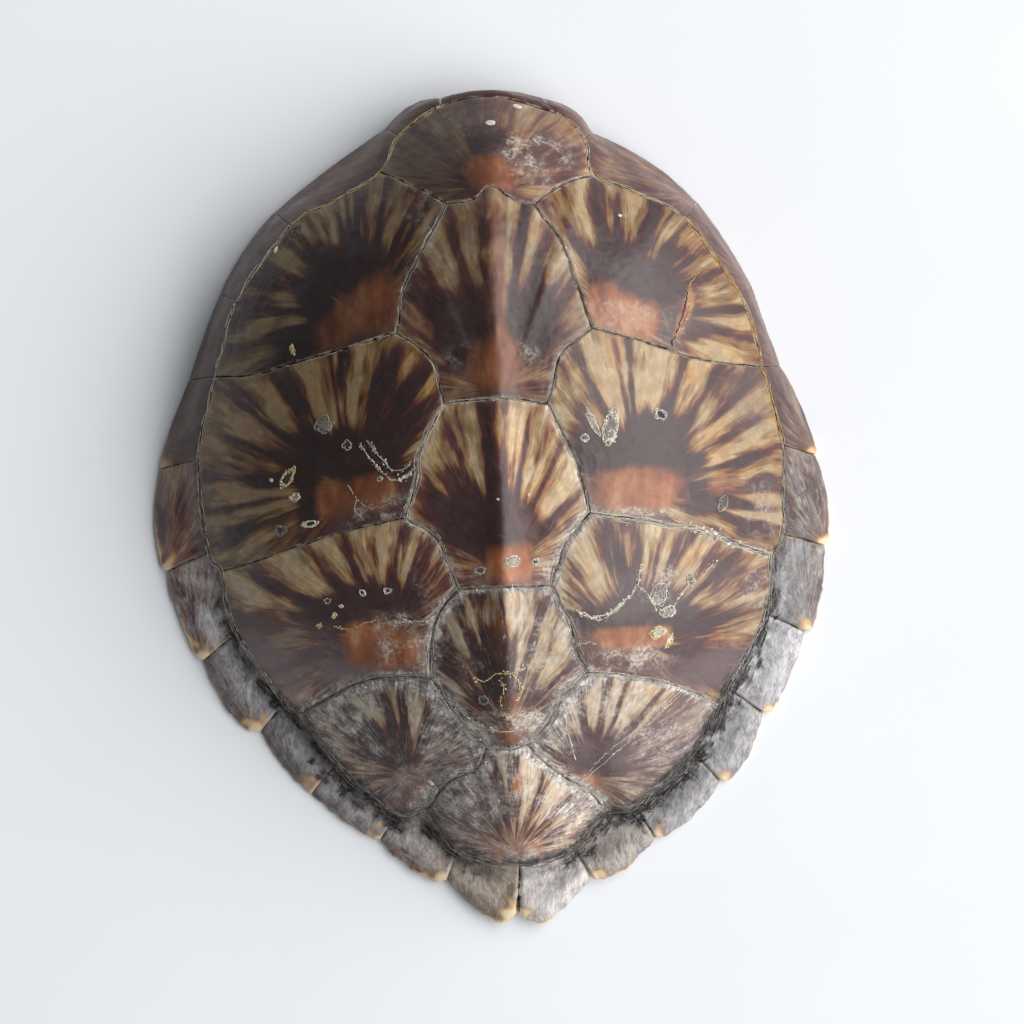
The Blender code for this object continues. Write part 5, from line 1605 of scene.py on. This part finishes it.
def frayed(row, seed, kinds, bare, count, spread):
    """Several uneven fibres along a row of places in plan."""
    row = smooth_line(row, 1) if len(row) < 3 else row
    walked = walk(row)
    row = read_row(row, walked, np.arange(0.0, walked[-1], FIBRE_STEP))
    along = unit(np.gradient(row, axis=0))
    side = np.stack([-along[:, 1], along[:, 0]], axis=1)
    found = []
    for k in range(count):
        off = spread * 2.0 * lumps(row, 14.0, seed + k * 1.7) + 0.35 * lumps(row, 3.5, seed + k * 2.3)
        off += spread * 2.4 * (k / max(count - 1, 1) - 0.5)
        place = row + side * off[:, None]
        point, normal = dome_point(place)
        up = FIBRE_LIFT + 0.28 * (1 - np.exp(-np.abs(off) / 0.8)) + 0.2 * lumps(row, 2.5, seed + k * 3.1)
        share = 0.5 + noise.noise(Vector((seed * 3.3, k * 1.9, 0.0)))
        found.append((point + normal * up[:, None], 0.6 + share, kinds - 0.2 + 0.3 * share, bare))
    return found


seam_crust = crust_finish()
strands = strand_tree()
# (kind, bareness, number of fibres, how far they spread)
THREADS = {
    "v1_v2": (0.5, 0.48, 4, 0.5), "v2_v3": (0.6, 0.48, 4, 0.5), "v3_v4": (0.58, 0.45, 5, 0.6),
    "v4_v5": (0.62, 0.42, 8, 0.9), "v1_c1_left": (0.46, 0.5, 2, 0.3), "v1_c1_right": (0.54, 0.47, 5, 0.7),
    "v2_c1_left": (0.47, 0.47, 4, 0.6), "v2_c1_right": (0.52, 0.46, 5, 0.6),
    "v2_c2_left": (0.44, 0.5, 3, 0.4), "v2_c2_right": (0.54, 0.46, 6, 0.7),
    "v3_c2_left": (0.6, 0.38, 10, 0.9), "v3_c2_right": (0.6, 0.44, 7, 0.8),
    "v3_c3_left": (0.56, 0.44, 7, 0.9), "v3_c3_right": (0.58, 0.42, 9, 1.0),
    "v4_c3_left": (0.54, 0.42, 9, 1.1), "v4_c3_right": (0.58, 0.42, 8, 0.9),
    "v4_c4_left": (0.56, 0.4, 11, 1.2), "v4_c4_right": (0.62, 0.4, 10, 1.1),
    "v5_c4_left": (0.58, 0.42, 9, 1.0), "v5_c4_right": (0.66, 0.4, 10, 1.0),
    "c1_c2_left": (0.6, 0.52, 2, 0.3), "c1_c2_right": (0.52, 0.47, 4, 0.5),
    "c2_c3_left": (0.54, 0.48, 3, 0.4), "c2_c3_right": (0.64, 0.36, 11, 1.0),
    "c3_c4_left": (0.5, 0.42, 7, 0.9), "c3_c4_right": (0.62, 0.4, 7, 0.7),
}
# The same along the ring: (from, to, side, kind, bareness, number of fibres, spread).
RING_THREADS = (
    ("M0", "M2", "left", 0.78, 0.42, 3, 0.3), ("M2", "M5", "left", 0.80, 0.42, 3, 0.3),
    ("M5", "M8", "left", 0.6, 0.45, 5, 0.6), ("M8", "M12", "left", 0.45, 0.44, 8, 0.8),
    ("M6", "M11", "left", 0.72, 0.30, 1, 0.05), ("M2", "M0", "right", 0.84, 0.42, 5, 0.4),
    ("M5", "M2", "right", 0.94, 0.42, 7, 0.6), ("M8", "M5", "right", 0.58, 0.42, 6, 0.7),
    ("M12", "M8", "right", 0.45, 0.44, 8, 0.8),
)
lines = []
for seed, (seam, values) in enumerate(THREADS.items()):
    lines += frayed(wobble(seam_row(seam)), seed * 0.9, *values)
for seed, (start, end, side, *values) in enumerate(RING_THREADS, 40):
    lines += frayed(wobble(ring_row(start, side, end, side)), seed * 0.9, *values)
grown("seam_threads", start_mesh("seam_lines", lines), strands, seam_crust, {
    "Gap scale": GAP_SCALE, "Thickness": FIBRE_THICK * MM, "Shake": FIBRE_SHAKE * MM, "Seed": 2.0,
})

# ---------------------------------------------------------------------------------------------
# Scars, veins and the crack. Barnacles and knocks have left raised rings of pale and yellow
# crust on the costal scutes; one crack runs through the first costal on the right.

# (x, y, half length, half width, turn in degrees, thickness, kind, kind of the pit, loops,
# crumbs for each mm)
SCARS = (
    (-65.6, 36.5, 3.6, 2.9, 20, 0.9, 0.48, 0.42, 4, 2.0),
    (-56.5, 28.0, 1.9, 1.7, 80, 1.6, 0.55, 0.05, 2, 0.0),
    (-81.9, 15.7, 4.2, 1.9, 55, 1.2, 0.84, 0.12, 3, 2.5),
    (-78.9, 7.9, 2.2, 1.3, 10, 1.0, 0.82, 0.6, 2, 1.5),
    (-85.9, -5.4, 2.4, 1.8, 20, 1.0, 0.5, 0.2, 3, 1.0), (-43.9, 13.8, 1.0, 0.9, 0, 1.1, 0.6, 0.1, 2, 0.0),
    (-73.0, -3.1, 3.2, 1.3, 5, 1.2, 0.82, 0.1, 2, 2.0),
    (-75.5, 117.5, 2.6, 1.5, 40, 1.0, 0.3, 0.25, 3, 2.0),
    (-78.1, 67.7, 2.3, 0.9, 100, 1.0, 0.84, 0.78, 2, 1.0),
    (49.2, 31.0, 3.0, 6.4, -12, 1.2, 0.68, 0.40, 7, 2.2),
    (49.6, 28.4, 1.3, 2.2, -10, 1.4, 0.74, 0.04, 2, 1.5),
    (42.2, 33.5, 1.3, 5.2, 25, 0.9, 0.64, 0.44, 4, 1.5),
    (38.7, 27.3, 1.5, 1.4, 0, 1.5, 0.68, 0.3, 2, 0.5),
    (70.0, 35.7, 2.5, 1.7, -35, 0.9, 0.70, 0.12, 3, 2.0),
    (94.7, -0.8, 2.8, 2.0, 70, 1.0, 0.55, 0.3, 4, 1.0),
    (70.7, -56.1, 3.0, 1.2, 65, 1.3, 0.84, 0.72, 2, 1.0),
    (67.0, -37.4, 3.2, 4.4, -15, 0.9, 0.66, 0.5, 5, 1.5),
    (70.5, -44.0, 3.2, 2.2, 0, 1.0, 0.70, 0.6, 4, 2.5),
    (66.0, -52.5, 3.4, 2.0, 20, 1.0, 0.82, 0.6, 3, 2.5),
    (80.4, -31.8, 1.6, 2.4, 10, 0.9, 0.62, 0.35, 4, 1.0),
    (-5.0, -24.3, 2.0, 1.4, 0, 1.0, 0.55, 0.2, 3, 1.5),
    (8.0, -21.0, 2.9, 2.0, 10, 1.0, 0.68, 0.6, 4, 2.0),
    (17.3, -21.5, 1.4, 1.2, 0, 1.0, 0.76, 0.3, 2, 1.5),
    (-5.4, -77.4, 1.9, 1.8, 0, 1.2, 0.45, 0.1, 3, 0.5),
    (-52.9, -31.7, 1.3, 1.2, 0, 1.2, 0.68, 0.1, 2, 0.0),
    (-42.6, -31.2, 1.3, 1.2, 0, 1.2, 0.68, 0.1, 2, 0.0),
    (-67.6, -34.6, 1.2, 1.0, 0, 1.0, 0.6, 0.1, 2, 0.0),
    (-71.6, -44.8, 1.1, 0.8, 30, 1.0, 0.84, 0.7, 2, 1.0),
    (-65.0, -40.8, 1.3, 0.7, 50, 1.0, 0.84, 0.7, 2, 1.0),
    (-62.0, -37.0, 0.9, 0.6, 0, 1.0, 0.82, 0.6, 2, 1.0),
)
# (points, thickness, kind, bareness, crumbs for each mm)
VEINS = (
    (((-51.2, 28.6), (-47.9, 23.0), (-43.2, 17.2), (-39.6, 13.2)), 2.2, 0.60, 0.15, 1.5),
    (((-39.6, 13.2), (-34.5, 13.8), (-29.3, 17.9)), 2.0, 0.63, 0.15, 3.0),
    (
        ((-48.6, 29.6), (-45.0, 24.6), (-40.6, 19.4), (-38.4, 17.0), (-34.0, 17.6), (-30.8, 20.8)),
        1.8, 0.56, 0.15, 1.5,
    ),
    (
        ((-50.0, 29.2), (-46.5, 23.8), (-41.8, 18.2), (-39.0, 15.2), (-34.2, 15.8), (-30.1, 19.4)),
        3.2, 0.05, 0.0, 0.0,
    ),
    (((-57.0, 12.0), (-53.5, 6.5), (-50.0, 3.0), (-44.0, 2.5), (-38.0, 5.0)), 0.9, 0.5, 0.35, 0.8),
    (((-53.5, 6.5), (-54.5, 2.0), (-52.0, -1.5)), 0.9, 0.55, 0.3, 1.0),
    (((33.0, -41.5), (38.0, -44.8), (44.5, -44.2), (49.5, -41.5), (55.3, -36.8)), 0.9, 0.74, 0.38, 2.4),
    (((36.0, -43.0), (42.0, -46.2), (48.0, -43.5), (53.3, -38.8)), 0.9, 0.66, 0.4, 1.2),
    (((55.3, -36.8), (58.0, -33.0), (59.5, -27.0), (61.5, -23.0)), 1.0, 0.74, 0.38, 1.6),
    (((58.0, -33.0), (61.5, -36.0), (66.0, -43.0)), 0.9, 0.68, 0.38, 1.6),
    (((72.0, -44.0), (76.0, -38.0), (80.0, -33.0), (86.0, -29.0), (91.0, -24.5)), 0.9, 0.68, 0.4, 0.8),
    (((30.0, -60.0), (33.0, -56.5), (37.0, -55.0), (41.0, -56.0)), 0.9, 0.6, 0.4, 1.0),
    (((-9.0, -67.5), (-5.0, -69.5), (0.0, -66.5), (6.0, -66.0), (12.0, -64.0)), 0.7, 0.84, 0.42, 1.2),
    (((0.0, -66.5), (3.0, -72.0), (1.5, -78.0), (3.5, -84.5)), 0.6, 0.9, 0.45, 1.0),
    (((6.0, -66.0), (9.0, -71.0), (8.0, -77.5)), 0.6, 0.82, 0.45, 1.0),
    (((-13.0, -84.0), (-7.0, -88.0), (2.0, -90.5), (11.0, -89.0), (18.0, -84.0)), 1.0, 0.6, 0.42, 2.0),
    (((8.0, -84.0), (12.0, -84.5), (17.0, -86.0)), 1.0, 0.68, 0.36, 2.5),
    (((-38.2, -42.3), (-33.0, -44.0), (-26.0, -43.9)), 1.2, 0.6, 0.32, 1.0),
    (((-37.0, -43.8), (-31.0, -45.5), (-25.0, -45.2)), 1.0, 0.55, 0.38, 1.0),
    (((-66.0, -45.0), (-60.0, -46.5), (-54.0, -44.5), (-48.0, -43.0)), 0.8, 0.9, 0.42, 0.6),
    (((33.5, -113.5), (48.0, -101.5), (62.0, -90.0), (78.0, -77.0)), 0.9, 0.62, 0.30, 0.3),
    (((34.0, -112.0), (43.0, -102.5), (56.0, -92.5), (72.0, -80.0)), 0.6, 0.62, 0.46, 0.3),
    (((26.5, -84.0), (28.5, -94.0), (31.0, -104.0)), 0.6, 0.66, 0.42, 0.3),
    (((84.2, 88.3), (86.0, 91.0), (89.4, 95.2)), 1.0, 0.95, 0.3, 0.0),
    (((77.0, 66.5), (79.4, 70.5), (82.3, 75.5), (84.6, 83.5), (84.3, 87.5)), 2.2, 0.93, 0.05, 0.6),
    (
        ((82.6, 86.3), (82.8, 83.0), (80.3, 75.1), (77.5, 67.7), (75.7, 64.9), (76.8, 60.8)),
        4.6, 0.0, 0.0, 0.0,
    ),
)
VEIN_THICK = 0.24
VEIN_SHAKE = 1.6
# A scar of many loops is filled up to this share of its size, a plain one stays open.
FILLED = 0.3
OPEN = 0.8


def oval(x, y, long, wide, turn, angle, share):
    """Places at the given angles and shares of size round a turned oval."""
    c, s = math.cos(math.radians(turn)), math.sin(math.radians(turn))
    across, up = np.cos(angle) * long * share, np.sin(angle) * wide * share
    return np.stack([x + across * c - up * s, y + across * s + up * c], axis=1)


lines = []
for seed, (x, y, long, wide, turn, thick, kind, pit, loops, _) in enumerate(SCARS):
    angle = np.linspace(0, 2 * math.pi, 6 * int(8 + 2 * long) // 2 + 1)
    for loop, share in enumerate(np.linspace(1.0, FILLED if loops > 3 else OPEN, loops)):
        shift = seed * 2.1 + loop * 0.9
        knock = [noise.noise(Vector((math.cos(a) * 1.3, math.sin(a) * 1.3, shift))) for a in angle]
        place = oval(x, y, long, wide, turn, angle, share * (1 + 0.55 * np.array(knock)))
        thickness = thick * (0.6 + 0.4 * share)
        lines.append((on_horn(place, 0.05)[0], thickness, kind - 0.05 * loop, 0.3 + 0.05 * loop))
for seed, (points, thick, kind, bare, _) in enumerate(VEINS):
    row = smooth_line(points, 0.7)
    row = row + np.stack([0.5 * lumps(row, 2.0, seed + 60), 0.5 * lumps(row, 2.0, seed + 80)], axis=1)
    lines.append((on_horn(row, 0.03)[0], thick, kind, bare))
grown("scar_crust", start_mesh("scar_lines", lines), strands, seam_crust, {
    "Gap scale": GAP_SCALE, "Thickness": VEIN_THICK * MM, "Shake": VEIN_SHAKE * MM, "Seed": 5.0,
})

# ---------------------------------------------------------------------------------------------
# Spots, crumbs and flakes. White lime spots near the neck, crumbs of crust along the seams, and
# loose dark and grey flakes packed into the channel above the rear rim.

# (x, y, length, width, thickness, turn in degrees, kind)
SPOTS = (
    (5.4, 158.9, 2.1, 1.7, 0.4, 10, 0.72), (16.8, 166.5, 2.0, 1.4, 0.4, -20, 0.72),
    (-88.7, 15.2, 1.0, 0.9, 0.3, 0, 0.70), (-84.7, 110.1, 1.0, 1.7, 0.4, -20, 0.76),
    (57.0, 118.0, 0.9, 0.8, 0.3, 0, 0.7), (70.7, -56.1, 2.4, 0.7, 0.35, 65, 0.8),
    (-78.1, 67.7, 1.8, 0.6, 0.3, 100, 0.8), (3.3, 4.0, 0.6, 0.6, 0.2, 0, 0.66),
    (15.4, 5.5, 0.5, 0.5, 0.2, 0, 0.68), (-29.0, -112.0, 1.8, 1.2, 0.4, -35, 0.66),
)
# (seam, from and to as shares of it, number of crumbs, size, kind)
CRUMB_RUNS = (
    ("c2_c3_right", 0.5, 0.8, 30, 0.85, 0.62), ("c2_c3_right", 0.0, 1.0, 50, 0.4, 0.6),
    ("c3_c4_right", 0.0, 1.0, 26, 0.5, 0.6), ("v2_v3", 0.0, 1.0, 14, 0.4, 0.62),
    ("v3_v4", 0.0, 1.0, 14, 0.4, 0.6), ("v4_c3_left", 0.2, 1.0, 18, 0.45, 0.58),
    ("v4_c4_left", 0.0, 1.0, 24, 0.5, 0.58), ("v4_c4_right", 0.0, 1.0, 24, 0.5, 0.62),
    ("v5_c4_right", 0.0, 1.0, 24, 0.5, 0.64), ("v5_c4_left", 0.0, 1.0, 20, 0.5, 0.58),
    ("c3_c4_left", 0.0, 1.0, 26, 0.5, 0.55), ("v2_c1_right", 0.0, 1.0, 16, 0.4, 0.64),
    ("v2_c2_right", 0.0, 1.0, 12, 0.4, 0.64), ("v3_c3_right", 0.0, 1.0, 12, 0.4, 0.6),
)
# The pit of a scar, as a share of the scar's size, and its rise.
PIT = 0.7
PIT_RISE = 0.15
DENT_SCALE = 1.3
# Crumbs on the seams, the scars and the veins: (rise, least and most size, least and most shape,
# spread of the kind).
SEAM_CRUMB = (0.0, (0.4, 1.1), ((0.7, 0.7, 0.4), (1.4, 1.0, 0.8)), (-0.15, 0.15))
SCAR_CRUMB = (0.05, (0.15, 0.42), ((0.9, 0.7, 0.5), (1.6, 1.1, 0.9)), (-0.18, 0.08))
VEIN_CRUMB = (0.0, (0.15, 0.5), ((0.9, 0.7, 0.4), (1.6, 1.1, 0.8)), (-0.2, 0.08))
FLAKES = 1500
FLAKE_SIZE = (0.3, 1.2)
FLAKE_SKEW = 1.3
FLAKE_SHAPE = ((1.0, 0.16, 0.1), (3.2, 0.42, 0.22))
FLAKE_KINDS = (0.05, 0.12, 0.2, 0.3, 0.42)
FLAKE_SHARES = (0.2, 0.2, 0.25, 0.2, 0.15)


def scatter_tree():
    """A rough lump on every point, sized and turned as the point says."""
    tree, given = new_growth("lumps", ("Roughness", "Seed"))
    ball = put(tree, "GeometryNodeMeshIcoSphere", {"Radius": 1.0, "Subdivisions": 2}).outputs[0]
    lump = shaken(tree, ball, given["Seed"], DENT_SCALE, given["Roughness"])
    turn = put(tree, "FunctionNodeEulerToRotation", {0: read(tree, "Turn", "FLOAT_VECTOR")}).outputs[0]
    size = read(tree, "Size", "FLOAT_VECTOR")
    spread = put(tree, "GeometryNodeInstanceOnPoints", {
        "Points": given["Geometry"], "Instance": lump, "Rotation": turn, "Scale": size,
    })
    end_growth(tree, spread.outputs[0], given["Material"])
    return tree


def lump_start(name, points, normals, sizes, turns, kinds):
    """The points of the lumps, with each one's size, turn and kind."""
    mesh = bpy.data.meshes.new(name)
    mesh.from_pydata((points * MM).tolist(), [], [])
    holder = in_scene(name, mesh)
    eulers = []
    for normal, turn in zip(normals, turns):
        lean = Vector((0, 0, 1)).rotation_difference(Vector(normal))
        spin = Quaternion((0, 0, 1), turn)
        eulers.append(tuple((lean @ spin).to_euler()))
    set_field(holder, "Size", np.asarray(sizes) * MM)
    set_field(holder, "Turn", np.array(eulers))
    set_field(holder, "Kind", np.asarray(kinds, float))
    return holder


chance = np.random.default_rng(11)
scatter = scatter_tree()
spots = list(SPOTS)
for x, y, long, wide, turn, _, _, pit, _, _ in SCARS:
    spots.append((x, y, long * PIT, wide * PIT, PIT_RISE, turn, pit))
point, normal = on_horn(np.array([spot[:2] for spot in spots]), 0.05)
points, normals = [point], [normal]
sizes = [spot[2:5] for spot in spots]
turns = [math.radians(spot[5]) for spot in spots]
kinds = [spot[6] for spot in spots]


def add_crumbs(place, size, kind, rise, scales, shapes, spread):
    """Crumbs at places in plan, of about the given size and kind, by one of the rows above."""
    count = len(place)
    point, normal = on_horn(place, rise)
    points.append(point)
    normals.append(normal)
    scale = size * chance.uniform(*scales, (count, 1))
    sizes.extend((scale * chance.uniform(*shapes, (count, 3))).tolist())
    turns.extend(chance.uniform(0, 2 * math.pi, count).tolist())
    kinds.extend((kind + chance.uniform(*spread, count)).tolist())


def along_row(row, at):
    return read_row(row, np.arange(len(row)), at)


for seam, start, end, count, size, kind in CRUMB_RUNS:
    row = wobble(seam_row(seam))
    place = along_row(row, chance.uniform(start, end, count) * (len(row) - 1))
    place = place + chance.normal(0, 0.7 + size, (count, 2))
    add_crumbs(place, size, kind, *SEAM_CRUMB)
for x, y, long, wide, turn, thick, kind, _, _, density in SCARS:
    count = int(math.pi * density * (long + wide))
    angle = chance.uniform(0, 2 * math.pi, count)
    place = oval(x, y, long, wide, turn, angle, chance.normal(0.92, 0.12, count))
    add_crumbs(place, thick, kind, *SCAR_CRUMB)
for line, thick, kind, _, density in VEINS:
    row = smooth_line(line, SEAM_STEP)
    count = int(density * len(row))
    place = along_row(row, chance.uniform(0, len(row) - 1, count)) + chance.normal(0, 0.55, (count, 2))
    add_crumbs(place, 1.0, kind, *VEIN_CRUMB)
crumbs = lump_start("crumb_points", np.concatenate(points), np.concatenate(normals), sizes, turns, kinds)
grown("spots_and_crumbs", crumbs, scatter, seam_crust, {"Roughness": 0.9, "Seed": 1.0})

bed_point, bed_normal, bed_weight, bed_heading = (np.concatenate(part) for part in zip(*channel_bed))
picked = chance.choice(len(bed_point), FLAKES, p=bed_weight / bed_weight.sum())
size = chance.uniform(*FLAKE_SIZE, (FLAKES, 1)) ** FLAKE_SKEW
lean = unit(bed_normal[picked] + chance.normal(0, 0.2, (FLAKES, 3)))
flakes = lump_start(
    "flake_points", bed_point[picked] + chance.normal(0, 0.4, (FLAKES, 3)), lean,
    size * chance.uniform(*FLAKE_SHAPE, (FLAKES, 3)),
    bed_heading[picked] + chance.normal(0, 0.2, FLAKES),
    chance.choice(FLAKE_KINDS, FLAKES, p=FLAKE_SHARES),
)
grown("channel_flakes", flakes, scatter, seam_crust, {"Roughness": 1.3, "Seed": 4.0})

# ---------------------------------------------------------------------------------------------
# The table top and the light of the photograph: a white board that runs on out of sight, a wide
# window low on the right and soft light from all round. The camera looks straight down.

FLOOR_HALF = 2.5
FLOOR_WHITE = (0.875, 0.885, 0.905, 1.0)
FLOOR_DIM = (0.855, 0.865, 0.885)
FLOOR_ROUGH = 0.6
CAMERA_PLACE = (0.0087, -0.0014, 1.8)
CAMERA_TURN = -2.06
CAMERA_LENS = 150.3
WORLD_COLOUR = (0.86, 0.94, 1.0, 1.0)
WORLD_STRENGTH = 0.17
WINDOW_PLACE = (2.65, 0.13, 2.08)
WINDOW_SIZE = (8.6, 3.9)
WINDOW_POWER = 344.0
WINDOW_COLOUR = (0.985, 0.99, 1.0)

floor_mesh = bpy.data.meshes.new("table_top")
h = FLOOR_HALF
floor_mesh.from_pydata([(-h, -h, 0), (h, -h, 0), (h, h, 0), (-h, h, 0)], [], [(0, 1, 2, 3)])
floor = in_scene("table_top", floor_mesh)
paint, tree, shader, place = new_finish("white_board")
mottle = grain(tree, place, EVEN, 9.0, detail=3.0)
white = colours(tree, mottle, ((0.3, FLOOR_DIM), (0.7, FLOOR_WHITE)))
wire(tree, shader.inputs, {"Base Color": white, "Roughness": FLOOR_ROUGH})
floor_mesh.materials.append(paint)
floor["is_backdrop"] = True


lamp = bpy.data.lights.new("window", "AREA")
lamp.shape = "RECTANGLE"
lamp.size, lamp.size_y = WINDOW_SIZE
lamp.energy = WINDOW_POWER
lamp.color = WINDOW_COLOUR
window = in_scene("window", lamp)
window.location = WINDOW_PLACE
window.rotation_euler = (-Vector(WINDOW_PLACE)).to_track_quat("-Z", "Y").to_euler()

world = bpy.data.worlds.new("room")
world.use_nodes = True
room = world.node_tree.nodes["Background"]
room.inputs["Color"].default_value = WORLD_COLOUR
room.inputs["Strength"].default_value = WORLD_STRENGTH
bpy.context.scene.world = world
bpy.context.scene.view_settings.view_transform = "Standard"

lens = bpy.data.cameras.new("camera")
lens.lens = CAMERA_LENS
camera = in_scene("camera", lens)
camera.location = CAMERA_PLACE
camera.rotation_euler = (0.0, 0.0, math.radians(CAMERA_TURN))
bpy.context.scene.camera = camera

sizes = {"cad": [list(corner) for corner in cad_box], "visual": [list(corner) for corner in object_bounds()]}
